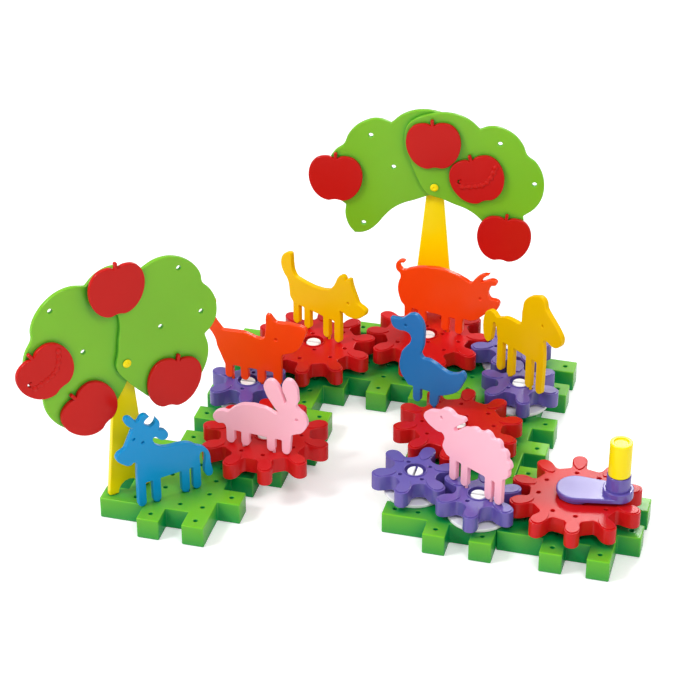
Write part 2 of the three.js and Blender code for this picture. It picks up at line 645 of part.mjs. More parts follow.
function makeTrunk() {
  const base = trunkBaseWidth / 2;
  const top = trunkTopWidth / 2;
  const shoulder = top / 2;
  const archHalf = pegSpan / 2 - legWidth / 2;
  const arch = [];
  for (let i = 0; i <= archStepCount; i += 1) {
    const angle = Math.PI - i * Math.PI / archStepCount;
    arch.push([archHalf * Math.cos(angle), trunkArchHeight * Math.sin(angle)]);
  }
  const outline = [
    [base, 0], [top, rivetHeight], [shoulder, trunkHeight], [-shoulder, trunkHeight], [-top, rivetHeight],
    [-base, 0], ...arch,
  ];
  const slab = standingSlab(outline, -trunkHalf, trunkHalf);
  const pegs = innerPegs.map((x) => post(pegRadius, -pegLength, trunkArchHeight / 2, pegSideCount, x, 0));
  const hole = crossPin(
    rivetRadius + rivetHoleGap,
    -trunkHalf - cutOverrun,
    trunkHalf + cutOverrun,
    pinSideCount,
    0,
    rivetHeight,
  );
  return toGeometry(joinAll(slab, pegs).subtract(hole));
}

// The rivet and everything that turns on it are drawn around the rivet's axis
function makeRivet() {
  const front = frontPanelLayer[0] - fitGap;
  const back = trunkHalf + fitGap;
  const overlap = rivetHeadHeight / 2;
  const shank = crossPin(rivetRadius, front - overlap, back + overlap, pinSideCount, 0, 0);
  const frontHead = crossPin(rivetHeadRadius, front - rivetHeadHeight, front, studSideCount, 0, 0);
  const backHead = crossPin(rivetHeadRadius, back, back + rivetHeadHeight, studSideCount, 0, 0);
  return toGeometry(joinAll(shank, [frontHead, backHead]));
}

function makeFoliage(layer, isMirrored, turn) {
  const side = isMirrored ? -1 : 1;
  const placed = ([x, z]) => turned(side * x * panelReach, z * panelReach, turn);
  const outline = foliageShares.map(placed);
  const slab = standingSlab(outline, ...layer);
  const holes = foliageHoleShares.map((share) => {
    const [x, z] = placed(share);
    return crossPin(appleHoleRadius, layer[0] - cutOverrun, layer[1] + cutOverrun, pinSideCount, x, z);
  });
  const rivetHole = crossPin(
    rivetRadius + rivetHoleGap,
    layer[0] - cutOverrun,
    layer[1] + cutOverrun,
    pinSideCount,
    0,
    0,
  );
  return toGeometry(cutAll(slab, [rivetHole, ...holes]));
}

// An apple hangs from a pin above its middle that goes back into the foliage
function makeApple(panelLayer, isEaten, turn) {
  const [front, back] = appleLayer(panelLayer);
  const outline = appleShares.map(([x, z]) => [x * appleWidth, z * appleWidth - applePinRise]);
  const slab = standingSlab(outline, front, back);
  const pin = crossPin(applePinRadius, back - panelThickness / 2, panelLayer[1], pegSideCount, 0, 0);
  if (!isEaten) {
    const plain = toGeometry(slab.add(pin));
    plain.rotateY(-turn);
    return plain;
  }
  const beads = wormShares.map(([x, z]) => crossPin(
    wormBeadRadius,
    front - wormBeadRise,
    front + appleThickness / 2,
    pinSideCount,
    x * appleWidth,
    z * appleWidth - applePinRise,
  ));
  const bite = crossPin(
    biteRadius,
    front - cutOverrun,
    back + cutOverrun,
    pinSideCount,
    biteShares[0] * appleWidth,
    biteShares[1] * appleWidth - applePinRise,
  );
  const eaten = toGeometry(joinAll(slab, [pin, ...beads]).subtract(bite));
  eaten.rotateY(-turn);
  return eaten;
}

// Each tree: where its trunk stands, then for the front and the back panel
// its turn and the apples on its holes as [hole, apple turn, has a worm]
const trees = [
  {
    place: [-14, -3], along: 0, across: 0, turn: 45,
    front: { isMirrored: true, turn: -120, apples: [[3, 0, false], [4, -12, false]] },
    back: { isMirrored: false, turn: 129, apples: [[0, 34, true], [4, 40, false]] },
  },
  {
    gear: 'large_gear_3', turn: 7.5, along: 0, across: 2.47,
    front: { isMirrored: false, turn: 1.5, apples: [[4, 4, false], [2, 19, true], [3, -5, false]] },
    back: { isMirrored: true, turn: -1, apples: [[1, 0, false]] },
  },
];

function cellsToPlace([column, row]) {
  return [column * cell, row * cell];
}

// Where something stands that is set some cells along and across from an axle
function standPlace({ place, gear, turn, along, across }) {
  const [x, y] = cellsToPlace(gear ? gears[gear].place : place);
  const [dx, dy] = turned(along * cell, across * cell, turn * degree);
  return [x + dx, y + dy];
}

function riderPegsOn(gearName) {
  const riders = [...Object.values(animals), ...trees].filter((rider) => rider.gear === gearName);
  return riders.flatMap((rider) => (rider.shape ? rider.shape.pegPlaces : innerPegs).map(
    (peg) => turned(rider.along * cell + peg, rider.across * cell, rider.turn * degree),
  ));
}

const assembly = new THREE.Group();

function addPiece(name, geometry, surface, x = 0, y = 0, z = 0, turn = 0) {
  const mesh = new THREE.Mesh(geometry, surface);
  mesh.name = name;
  mesh.position.set(x, y, z);
  mesh.rotation.z = turn;
  assembly.add(mesh);
}

const plateGeometry = makePlate();
plateCells.forEach((place, index) => {
  addPiece(`base_plate_${index + 1}`, plateGeometry, surfaces.plateGreen, ...cellsToPlace(place));
});

const hubGeometry = makeHub();
Object.entries(gears).forEach(([name, gear], index) => {
  const [x, y] = cellsToPlace(gear.place);
  const hubTurn = (gear.hubTurn ?? 0) * degree;
  addPiece(`axle_hub_${index + 1}`, hubGeometry, surfaces.hubWhite, x, y, 0, hubTurn);
  const sockets = gearSockets(gear.teeth, gear.pattern * degree, riderPegsOn(name));
  const surface = gear.teeth === largeTeeth ? surfaces.gearRed : surfaces.gearPurple;
  addPiece(name, makeGear(gear.teeth, gear.turn * degree, sockets), surface, x, y);
});

const crankGear = gears.large_gear_1;
const crankTurn = (crankGear.pattern + crankLean) * degree;
const [crankX, crankY] = cellsToPlace(crankGear.place);
addPiece('crank_arm', makeCrankArm(crankTurn), surfaces.gearPurple, crankX, crankY);
const [knobX, knobY] = turned(crankThrow, 0, crankTurn);
addPiece('crank_knob', makeKnob(), surfaces.yellow, crankX + knobX, crankY + knobY);

for (const [name, animal] of Object.entries(animals)) {
  const feet = (animal.gear ? gearTop : plateTop) + fitGap;
  const figure = makeFigure(animal.shape);
  addPiece(name, figure, animal.surface, ...standPlace(animal), feet, animal.turn * degree);
}

trees.forEach((tree, index) => {
  const number = index + 1;
  const turn = tree.turn * degree;
  const [x, y] = standPlace(tree);
  const base = (tree.gear ? gearTop : plateTop) + fitGap;
  const axis = base + rivetHeight;
  addPiece(`tree_trunk_${number}`, makeTrunk(), surfaces.yellow, x, y, base, turn);
  addPiece(`tree_rivet_${number}`, makeRivet(), surfaces.yellow, x, y, axis, turn);
  let appleNumber = 1;
  for (const [side, layer] of [['front', frontPanelLayer], ['back', backPanelLayer]]) {
    const panel = tree[side];
    const panelTurn = panel.turn * degree;
    const mirror = panel.isMirrored ? -1 : 1;
    const foliage = makeFoliage(layer, panel.isMirrored, panelTurn);
    addPiece(`foliage_${side}_${number}`, foliage, surfaces.leafGreen, x, y, axis, turn);
    for (const [hole, appleTurn, hasWorm] of panel.apples) {
      const [shareX, shareZ] = foliageHoleShares[hole];
      const [alongX, up] = turned(mirror * shareX * panelReach, shareZ * panelReach, panelTurn);
      const [dx, dy] = turned(alongX, 0, turn);
      const apple = makeApple(layer, hasWorm, appleTurn * degree);
      const name = `apple_${number}_${appleNumber}`;
      addPiece(name, apple, surfaces.appleRed, x + dx, y + dy, axis + up, turn);
      appleNumber += 1;
    }
  }
});

// The origin lies on the table, under the middle of the whole set
assembly.updateMatrixWorld(true);
const isExact = true;
const middle = new THREE.Box3().setFromObject(assembly, isExact).getCenter(new THREE.Vector3());
for (const mesh of assembly.children) {
  mesh.position.x -= middle.x;
  mesh.position.y -= middle.y;
}

export default assembly;
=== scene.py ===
"""Dresses the farm gear set: moulded pieces drawn from the frame's own outlines, on a pale stage"""

import json
import math

import bmesh
import bpy
import numpy as np
from bpy.props import FloatProperty, FloatVectorProperty, IntProperty, PointerProperty
from mathutils import Matrix, Vector


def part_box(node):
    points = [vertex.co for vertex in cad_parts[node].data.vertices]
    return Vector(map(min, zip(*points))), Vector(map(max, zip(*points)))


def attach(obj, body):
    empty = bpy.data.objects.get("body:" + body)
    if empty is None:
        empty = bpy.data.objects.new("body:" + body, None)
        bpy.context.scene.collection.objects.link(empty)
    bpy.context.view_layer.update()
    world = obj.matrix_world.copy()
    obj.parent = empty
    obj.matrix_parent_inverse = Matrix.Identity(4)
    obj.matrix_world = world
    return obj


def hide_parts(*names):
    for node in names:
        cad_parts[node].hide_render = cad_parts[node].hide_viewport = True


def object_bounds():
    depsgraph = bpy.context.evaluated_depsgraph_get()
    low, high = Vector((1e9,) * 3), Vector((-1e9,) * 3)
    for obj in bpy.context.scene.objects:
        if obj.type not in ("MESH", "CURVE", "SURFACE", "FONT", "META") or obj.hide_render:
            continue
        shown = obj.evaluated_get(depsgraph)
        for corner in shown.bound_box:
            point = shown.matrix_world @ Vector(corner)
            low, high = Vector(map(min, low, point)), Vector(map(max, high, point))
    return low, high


bl_info = {
    "name": "Farm gear set",
    "version": (1, 0, 0),
    "blender": (4, 5, 0),
    "location": "3D View > Sidebar > Gear set",
    "description": "Builds the moulded pieces of a farm gear set around its packed frame",
    "category": "Add Mesh",
}

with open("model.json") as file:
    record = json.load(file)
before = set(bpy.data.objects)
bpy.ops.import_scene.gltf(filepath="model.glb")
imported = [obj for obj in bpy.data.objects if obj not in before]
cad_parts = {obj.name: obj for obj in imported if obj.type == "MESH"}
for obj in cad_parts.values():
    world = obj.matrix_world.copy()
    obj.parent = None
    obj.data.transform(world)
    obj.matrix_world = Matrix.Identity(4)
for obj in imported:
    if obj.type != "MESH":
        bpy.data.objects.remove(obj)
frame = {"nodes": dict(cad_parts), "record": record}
cad_low, cad_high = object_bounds()

SLOTS = {part["node"]: part["material_slot"] for part in frame["record"]["subparts"]}
BODIES = {
    node: body
    for body, members in frame["record"]["behaviour"]["bodies"].items()
    for node in members
}
UP = Vector((0, 0, 1))
# Corners nearer than WELD are one corner, and faces nearer than LEVEL lie at one height
WELD = 1e-6
LEVEL = 2e-5
# A plug is wider than its hole, and a post reaches into its piece, by a little
OVERSIZE = 2e-5
OVERLAP = 0.001
# Cosines at which a face still looks one way, and is a piece's flat end or its straight wall
FACING = 0.999
END_LEAN = 0.9998
WALL_LEAN = 0.02
CREASE_ANGLE = math.radians(50)
# The share of a side that a rounded corner may take
CORNER_ROOM = 0.45
# Sides of small circles, and the size of a circle with about the area of a many-sided hole
HOLE_SIDES = 20
PEG_SIDES = 16
RIM_SIDES = 48
ROUND_SIDES = 24
ROUND_SHARE = 0.93
# Peg tips nearer than PEG_ROOM belong to one peg, which reaches PEG_HEIGHT up from them, and
# blind holes are deeper than SOCKET_DEPTH
PEG_ROOM = 0.003
PEG_HEIGHT = 0.0075
SOCKET_DEPTH = 0.003
# The floor lies a little below the set. It glows a little for the camera alone.
FLOOR_GAP = 0.0002
FLOOR_LIFT = 0.28
WORLD_LIGHT = 0.62


def length(name, description, default):
    return FloatProperty(name=name, description=description, default=default, unit="LENGTH")


def colour(name, description, default):
    return FloatVectorProperty(name=name, description=description, default=default, subtype="COLOR")


class SetSizes(bpy.types.PropertyGroup):
    """Sizes that the frame leaves open"""

    plate_round: length("Plate edge radius", "Radius of the base plates' rounded rims", 0.0007)
    gear_round: length("Gear edge radius", "Radius of the gears' rounded rims", 0.00045)
    sheet_round: length(
        "Flat piece edge radius", "Radius of the rims of animals, foliage, apples and trunks", 0.0006
    )
    corner_round: length(
        "Corner radius", "Radius of an outline's sharp corners, seen from its face", 0.001
    )
    hole_radius: length("Peg hole radius", "Radius of the round peg holes", 0.00145)
    peg_radius: length("Peg radius", "Radius of the round pegs under the pieces", 0.0011)
    petal_rise: length(
        "Petal rise", "How far the petals on the teeth stand above the frame's gear face", 0.0001
    )
    petal_relief: length(
        "Petal relief", "How far the petals on the teeth stand above the face around them", 0.0007
    )
    petal_width: length("Petal width", "Width of the petals on the teeth", 0.0092)
    petal_length: length("Petal length", "Length of the petals on the teeth", 0.0155)
    petal_margin: length("Petal margin", "Room between a petal and the tip of its tooth", 0.0008)
    lip_width: length(
        "Recess lip width", "Width of the thin raised lip around the recess in a gear's middle", 0.0008
    )
    stud_gap: length("Stud gap", "Width of the slot that splits a hub's stud", 0.0016)
    stud_head: length("Stud head height", "Height of the snap head on a hub's stud", 0.002)
    straight_run: length(
        "Straight run",
        "An animal's outline points that are further apart than this keep a straight line",
        0.0069,
    )
    eye_radius: length("Eye radius", "Radius of the floor of an animal's eye", 0.0012)
    eye_depth: length("Eye depth", "Depth of an animal's eye", 0.0013)
    bead_radius: length("Bead radius", "Radius of the large beads of an apple's worm", 0.0021)
    small_bead_radius: length("Small bead radius", "Radius of the beads between them", 0.0015)
    mark_radius: length("Tooth mark radius", "Radius of the small ring that marks one tooth", 0.0017)
    rim_sides: IntProperty(
        name="Sides of a round rim",
        description="Straight sides that a large circle is drawn with",
        default=72,
        min=24,
    )


class SetColours(bpy.types.PropertyGroup):
    """Colours of the mouldings"""

    plate_green: colour("Plates", "Base plates", (0.17, 0.52, 0.018))
    leaf_green: colour("Foliage", "Foliage panels", (0.2, 0.5, 0.02))
    gear_red: colour("Large gears", "Ten-tooth gears", (0.58, 0.008, 0.009))
    apple_red: colour("Apples", "Apples", (0.55, 0.01, 0.007))
    gear_purple: colour("Small gears", "Six-tooth gears and the crank", (0.115, 0.08, 0.37))
    hub_white: colour("Hubs", "Axle hubs", (0.9, 0.9, 0.9))
    yellow: colour("Yellow", "Grip, trunks and rivets", (0.98, 0.76, 0.0))
    horse_yellow: colour("Warm yellow", "Dog and horse", (0.9, 0.54, 0.0))
    cow_blue: colour("Cow", "Cow", (0.0, 0.27, 0.6))
    goose_blue: colour("Goose", "Goose", (0.015, 0.17, 0.46))
    pink: colour("Pink", "Rabbit and sheep", (0.98, 0.47, 0.58))
    orange: colour("Orange", "Cat and pig", (0.95, 0.065, 0.004))


def sizes():
    return bpy.context.scene.gear_set_sizes


def colours():
    return bpy.context.scene.gear_set_colours


# Reading the frame: corner points, flat faces and the loops around them


def welded(node):
    """A frame node's corner points and triangles, with shared corners merged"""
    mesh = frame["nodes"][node].data
    points = np.array([v.co for v in mesh.vertices], float)
    corners = np.array([list(p.vertices) for p in mesh.polygons if len(p.vertices) == 3])
    keys = np.round(points / WELD).astype(np.int64)
    _, first, back = np.unique(keys, axis=0, return_index=True, return_inverse=True)
    return points[first], back.reshape(-1)[corners]


def triangle_facts(points, triangles):
    a, b, c = (points[triangles[:, k]] for k in range(3))
    cross = np.cross(b - a, c - a)
    length = np.linalg.norm(cross, axis=1)
    keep = length > 0
    unit = np.zeros_like(cross)
    unit[keep] = cross[keep] / length[keep, None]
    return unit, length / 2


def broad_side(node):
    """The direction in which a standing flat piece's widest front face looks"""
    points, triangles = welded(node)
    unit, area = triangle_facts(points, triangles)
    forward = (np.abs(unit[:, 2]) < WALL_LEAN) & (unit[:, 1] < 0)
    best = unit[np.argmax(np.where(forward, area, 0))]
    same = unit @ best > FACING
    mean = (unit[same] * area[same, None]).sum(0)
    return Vector(mean).normalized()


def widest_level(points, triangles, normal):
    """How far out along a normal the widest flat face lies"""
    unit, area = triangle_facts(points, triangles)
    facing = unit @ np.array(normal) > FACING
    height = points[triangles].mean(1) @ np.array(normal)
    levels = np.unique(np.round(height[facing], 5))
    return float(max(levels, key=lambda level: area[facing & (abs(height - level) < LEVEL)].sum()))


def face_loops(node, normal, level=None):
    """The closed loops around a node's flat face at a level, or its widest one, and the level"""
    points, triangles = welded(node)
    unit, area = triangle_facts(points, triangles)
    if level is None:
        level = widest_level(points, triangles, normal)
    height = points[triangles].mean(1) @ np.array(normal)
    facing = (unit @ np.array(normal) > FACING) & (area > 0)
    chosen = triangles[facing & (np.abs(height - level) < LEVEL)]
    edges = {(t[i], t[(i + 1) % 3]) for t in chosen for i in range(3)}
    onward = {a: b for a, b in edges if (b, a) not in edges}
    loops = []
    while onward:
        start = next(iter(onward))
        loop = [start]
        step = onward.pop(start)
        while step != start and step in onward:
            loop.append(step)
            step = onward.pop(step)
        loops.append(points[loop])
    return loops, level


def side_axis(normal):
    """The direction to the right, as seen by someone who looks at the face"""
    return Vector((-normal.y, normal.x, 0)).normalized() if abs(normal.z) < 0.5 else Vector((1, 0, 0))


def face_matrix(normal, level):
    """Takes flat points (right, up, out) to their place on a face"""
    right = side_axis(normal)
    turn = Matrix((right, normal.cross(right), normal)).transposed()
    return Matrix.Translation(normal * level) @ turn.to_4x4()


def flattened(loops, normal):
    right = np.array(side_axis(normal))
    up = np.array(normal.cross(side_axis(normal)))
    return [np.stack([loop @ right, loop @ up], axis=1) for loop in loops]


def loop_area(loop):
    following = np.roll(loop, -1, axis=0)
    return 0.5 * float((loop[:, 0] * following[:, 1] - following[:, 0] * loop[:, 1]).sum())


def outer_and_holes(loops):
    ordered = sorted(loops, key=lambda loop: -abs(loop_area(loop)))
    return ordered[0], ordered[1:]


# Outlines: straight runs kept, curved runs smoothed, corners rounded


def face_outline(node, normal):
    """The outline and the holes of a node's widest face, as flat loops, and how far out it lies"""
    loops, level = face_loops(node, normal)
    outer, holes = outer_and_holes(flattened(loops, normal))
    return without_straight_points(outer), holes, level


def without_straight_points(loop):
    kept = []
    for i, point in enumerate(loop):
        before = point - loop[i - 1]
        after = loop[(i + 1) % len(loop)] - point
        turn = abs(before[0] * after[1] - before[1] * after[0])
        if turn > 1e-4 * np.linalg.norm(before) * np.linalg.norm(after):
            kept.append(point)
    return np.array(kept)


def turning(loop, i):
    before = loop[i] - loop[i - 1]
    after = loop[(i + 1) % len(loop)] - loop[i]
    cosine = before @ after / (np.linalg.norm(before) * np.linalg.norm(after))
    return math.acos(max(-1, min(1, cosine)))


def arc(start, corner, end, steps):
    """Points from start to end, bent towards a corner"""
    shares = [k / steps for k in range(steps + 1)]
    return [(1 - t) ** 2 * start + 2 * t * (1 - t) * corner + t**2 * end for t in shares]


def rounded_corners(loop, radius, sharpest, steps=4):
    """Swaps each corner that turns more than the given angle for a small arc"""
    made = []
    count = len(loop)
    for i in range(count):
        angle = turning(loop, i)
        if angle < sharpest:
            made.append(loop[i])
            continue
        before = loop[i - 1] - loop[i]
        after = loop[(i + 1) % count] - loop[i]
        room = CORNER_ROOM * min(np.linalg.norm(before), np.linalg.norm(after))
        reach = min(radius * math.tan(angle / 2), room)
        start = loop[i] + before / np.linalg.norm(before) * reach
        end = loop[i] + after / np.linalg.norm(after) * reach
        made += arc(start, loop[i], end, steps)
    return np.array(made)


def smoothed(loop, corner, steps=5, long_run=2.2, longest=math.inf):
    """A curve through the loop's points. Corners sharper than corner stay, and so does a run
    that is longer than longest, or than long_run times both its neighbours."""
    count = len(loop)
    sharp = [turning(loop, i) > corner for i in range(count)]
    steps_on = [loop[(i + 1) % count] - loop[i] for i in range(count)]
    spans = [np.linalg.norm(step) for step in steps_on]
    ways = [step / span for step, span in zip(steps_on, spans)]
    straight = [
        spans[i] > min(longest, long_run * max(spans[i - 1], spans[(i + 1) % count]))
        for i in range(count)
    ]

    def direction(corner_index, run):
        """The curve's direction at a point, for the run that leaves or reaches it"""
        before, after = corner_index - 1, corner_index
        if sharp[corner_index] or (straight[before] and straight[after]):
            return ways[run]
        if straight[before]:
            return ways[before]
        if straight[after]:
            return ways[after]
        weight = spans[before] / (spans[before] + spans[after])
        mixed = ways[before] * (1 - weight) + ways[after] * weight
        return mixed / np.linalg.norm(mixed)

    made = []
    for i in range(count):
        j = (i + 1) % count
        if straight[i] or (sharp[i] and sharp[j]):
            made.append(loop[i])
            continue
        leave = direction(i, i) * spans[i]
        arrive = direction(j, i) * spans[i]
        for k in range(steps):
            t = k / steps
            made.append(
                (2 * t**3 - 3 * t**2 + 1) * loop[i]
                + (t**3 - 2 * t**2 + t) * leave
                + (-2 * t**3 + 3 * t**2) * loop[j]
                + (t**3 - t**2) * arrive
            )
    return np.array(made)


def circle(centre, radius, sides):
    x, y = centre
    angles = [2 * math.pi * k / sides for k in range(sides)]
    return np.array([[x + radius * math.cos(a), y + radius * math.sin(a)] for a in angles])


# Solids made from outlines and profiles


def added(name, data):
    """A new object in the scene that shows the data"""
    made = bpy.data.objects.new(name, data)
    bpy.context.scene.collection.objects.link(made)
    return made


def plain_mesh(holder):
    """The mesh that an object ends up with, once the object itself is removed"""
    depsgraph = bpy.context.evaluated_depsgraph_get()
    mesh = bpy.data.meshes.new_from_object(holder.evaluated_get(depsgraph))
    bpy.data.objects.remove(holder)
    return mesh


def mesh_of(form, name):
    """A mesh from a form, which is used up"""
    mesh = bpy.data.meshes.new(name)
    form.to_mesh(mesh)
    form.free()
    return mesh


def slab(loops, thickness, rim):
    """A flat piece with rounded rims, its front face at zero and its body behind"""
    curve = bpy.data.curves.new("outline", "CURVE")
    curve.dimensions = "2D"
    curve.fill_mode = "BOTH"
    curve.extrude = thickness / 2 - rim
    curve.bevel_depth = rim
    curve.bevel_resolution = 2
    curve.offset = -rim
    for loop in loops:
        spline = curve.splines.new("POLY")
        spline.points.add(len(loop) - 1)
        for point, (x, y) in zip(spline.points, loop):
            point.co = (x, y, 0, 1)
        spline.use_cyclic_u = True
    mesh = plain_mesh(added("outline", curve))
    bpy.data.curves.remove(curve)
    mesh.transform(Matrix.Translation((0, 0, -thickness / 2)))
    return mesh


def turned_solid(profile, sides):
    """A solid of revolution about Z from (radius, height) points, closed at both ends"""
    form = bmesh.new()
    rings = []
    for radius, height in profile:
        if radius == 0:
            rings.append([form.verts.new((0, 0, height))])
            continue
        ring = [
            form.verts.new((radius * math.cos(a), radius * math.sin(a), height))
            for a in (2 * math.pi * k / sides for k in range(sides))
        ]
        rings.append(ring)
    closed = profile[0][0] > 0 and profile[-1][0] > 0
    pairs = list(zip(rings, rings[1:]))
    if closed:
        pairs.append((rings[-1], rings[0]))
    for low, high in pairs:
        for k in range(sides):
            n = (k + 1) % sides
            corners = [low[k % len(low)], low[n % len(low)], high[n % len(high)], high[k % len(high)]]
            unique = list(dict.fromkeys(corners))
            if len(unique) > 2:
                form.faces.new(unique)
    bmesh.ops.recalc_face_normals(form, faces=form.faces)
    return mesh_of(form, "turned")


def soft_profile(points, radius, steps=3):
    """Rounds the corners of a (radius, height) profile that isn't on the axis"""
    made = [points[0]]
    for before, corner, after in zip(points, points[1:], points[2:]):
        corner = np.array(corner)
        back = np.array(before) - corner
        on = np.array(after) - corner
        reach = min(radius, CORNER_ROOM * np.linalg.norm(back), CORNER_ROOM * np.linalg.norm(on))
        start = corner + back / np.linalg.norm(back) * reach
        end = corner + on / np.linalg.norm(on) * reach
        made += [tuple(point) for point in arc(start, corner, end, steps)]
    made.append(points[-1])
    return made


def post_profile(radius, low, high, rim):
    return soft_profile([(0, low), (radius, low), (radius, high), (0, high)], rim)


def tube_profile(outer, inner, low, high, rim):
    """A ring's section, started in the middle of its outer wall"""
    middle = (low + high) / 2
    points = [(outer, middle), (outer, high), (inner, high), (inner, low), (outer, low), (outer, middle)]
    return soft_profile(points, rim)[:-1]


def joined(meshes):
    """One mesh from several, welded, with its normals set outwards"""
    form = bmesh.new()
    for mesh in meshes:
        form.from_mesh(mesh)
        bpy.data.meshes.remove(mesh)
    bmesh.ops.remove_doubles(form, verts=form.verts, dist=WELD)
    bmesh.ops.dissolve_degenerate(form, dist=WELD, edges=form.edges)
    bmesh.ops.recalc_face_normals(form, faces=form.faces)
    return mesh_of(form, "moulding")


def mark_sharp_edges(mesh, axis):
    """Smooth faces, with a hard edge at each crease and where a flat end or a straight wall of
    a piece that is drawn along an axis meets its rounded rim"""
    mesh.shade_smooth()
    form = bmesh.new()
    form.from_mesh(mesh)

    def kind(face):
        lean = abs(face.normal.dot(axis))
        return "end" if lean > END_LEAN else "wall" if lean < WALL_LEAN else "rim"

    for edge in form.edges:
        faces = edge.link_faces
        if len(faces) == 2:
            angle = faces[0].normal.angle(faces[1].normal, 0)
            edge.smooth = angle < CREASE_ANGLE and kind(faces[0]) == kind(faces[1])
    form.to_mesh(mesh)
    form.free()


def finish_piece(node, meshes, axis=UP):
    """Puts a finished moulding in the place of a frame node"""
    mesh = joined(meshes)
    mark_sharp_edges(mesh, axis)
    piece = added(f"{node}_moulding", mesh)
    mesh.name = piece.name
    mesh.materials.append(plastic(SLOTS[node]))
    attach(piece, BODIES[node])
    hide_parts(node)


# Repeats: floors of blind holes and rings of pieces, set out by node trees


class Growth:
    """A new node tree with named inputs, whose last steps make its instances real and paint them"""

    def __init__(self, name, inputs):
        self.tree = bpy.data.node_groups.new(name, "GeometryNodeTree")
        face = self.tree.interface
        for socket, kind in {"Geometry": "Geometry", **inputs, "Finish": "Material"}.items():
            face.new_socket(socket, in_out="INPUT", socket_type=f"NodeSocket{kind}")
        face.new_socket("Geometry", in_out="OUTPUT", socket_type="NodeSocketGeometry")
        self.link = self.tree.links.new
        self.given = self.node("NodeGroupInput")
        self.stand = self.node("GeometryNodeInstanceOnPoints")
        real = self.node("GeometryNodeRealizeInstances")
        paint = self.node("GeometryNodeSetMaterial")
        result = self.node("NodeGroupOutput")
        self.link(self.stand.outputs["Instances"], real.inputs["Geometry"])
        self.link(real.outputs["Geometry"], paint.inputs["Geometry"])
        self.link(self.given.outputs["Finish"], paint.inputs["Material"])
        self.link(paint.outputs["Geometry"], result.inputs["Geometry"])

    def node(self, kind):
        return self.tree.nodes.new(kind)

    def feed(self, name, *places):
        """Links the tree's named input to places in its nodes"""
        for place in places:
            self.link(self.given.outputs[name], place)

    def maths(self, operation, second=None):
        """A calculation, with its second value set if it is a plain number"""
        node = self.node("ShaderNodeMath")
        node.operation = operation
        if second is not None:
            node.inputs[1].default_value = second
        return node


def hole_floor_tree():
    """A node tree that stands a plug on each point: the closed lower part of a blind hole"""
    name = "blind hole floors"
    if name in bpy.data.node_groups:
        return bpy.data.node_groups[name]
    growth = Growth(name, {"Radius": "Float", "Length": "Float", "Sides": "Int"})
    link = growth.link
    plug = growth.node("GeometryNodeMeshCylinder")
    plug.fill_type = "NGON"
    half = growth.maths("MULTIPLY", -0.5)
    lower = growth.node("ShaderNodeCombineXYZ")
    shift = growth.node("GeometryNodeTransform")
    growth.feed("Geometry", growth.stand.inputs["Points"])
    growth.feed("Radius", plug.inputs["Radius"])
    growth.feed("Length", plug.inputs["Depth"], half.inputs[0])
    growth.feed("Sides", plug.inputs["Vertices"])
    link(half.outputs[0], lower.inputs["Z"])
    link(plug.outputs["Mesh"], shift.inputs["Geometry"])
    link(lower.outputs[0], shift.inputs["Translation"])
    link(shift.outputs["Geometry"], growth.stand.inputs["Instance"])
    return growth.tree


def ring_tree():
    """A node tree that repeats a piece around the upright axis through the origin"""
    name = "ring of pieces"
    if name in bpy.data.node_groups:
        return bpy.data.node_groups[name]
    growth = Growth(name, {"Count": "Int"})
    link = growth.link
    places = growth.node("GeometryNodePoints")
    index = growth.node("GeometryNodeInputIndex")
    share = growth.maths("DIVIDE")
    turn = growth.maths("MULTIPLY", 2 * math.pi)
    upright = growth.node("ShaderNodeCombineXYZ")
    growth.feed("Geometry", growth.stand.inputs["Instance"])
    growth.feed("Count", places.inputs["Count"], share.inputs[1])
    link(index.outputs["Index"], share.inputs[0])
    link(share.outputs[0], turn.inputs[0])
    link(turn.outputs[0], upright.inputs["Z"])
    link(places.outputs["Points"], growth.stand.inputs["Points"])
    link(upright.outputs[0], growth.stand.inputs["Rotation"])
    return growth.tree


def grown(seeds, tree, settings):
    """The plain mesh that a node tree makes from a seed mesh, which is used up"""
    holder = added("seeds", seeds)
    modifier = holder.modifiers.new("growth", "NODES")
    modifier.node_group = tree
    sockets = {s.name: s.identifier for s in tree.interface.items_tree if s.in_out == "INPUT"}
    for name, value in settings.items():
        modifier[sockets[name]] = value
    mesh = plain_mesh(holder)
    bpy.data.meshes.remove(seeds)
    mesh.materials.clear()
    return mesh


def hole_floors(points, radius, depth, slot):
    """Plugs that close round holes from the given points down"""
    seeds = bpy.data.meshes.new("seeds")
    seeds.from_pydata([tuple(p) for p in points], [], [])
    settings = {"Radius": radius, "Length": depth, "Sides": HOLE_SIDES, "Finish": plastic(slot)}
    return grown(seeds, hole_floor_tree(), settings)


def ring_of(mesh, count, slot):
    """The mesh repeated around the upright axis"""
    return grown(mesh, ring_tree(), {"Count": count, "Finish": plastic(slot)})


# Finishes


# Painted shade: green plastic is given a darker, cooler colour where ambient occlusion finds pieces
# standing close together
PAINTED_SHADE_COLOURS = {"plate_green": (0.0, 0.28, 0.06), "leaf_green": (0.06, 0.38, 0.03)}
PAINTED_SHADE_REACH = 0.03
PAINTED_SHADE_SPAN = (0.35, 0.95)
# How much light goes into the plastic, and how far each colour travels
TRANSLUCENCY = {
    "plate_green": (0.35, (0.0006, 0.005, 0.0012)),
    "leaf_green": (0.25, (0.0008, 0.004, 0.0012)),
    "hub_white": (0.1, (0.002, 0.002, 0.002)),
}
PLAIN_TRANSLUCENCY = (0.12, (0.002, 0.001, 0.001))
SHEEN = {"gear_purple": 0.7, "horse_yellow": 0.08, "apple_red": 0.16, "gear_red": 0.22}
PLAIN_SHEEN = 0.28
# Scale and detail of the noises, and what they change
DRIFT = (9, 3)
DRIFT_SPAN = (0.3, 0.7)
DRIFT_SHADES = (0.93, 1.05)
SMEARS = (60, 4)
GLOSS_SPAN = (0.16, 0.3)
RIPPLE = (160, 2)
RIPPLE_STRENGTH = 0.08
RIPPLE_HEIGHT = 0.0004


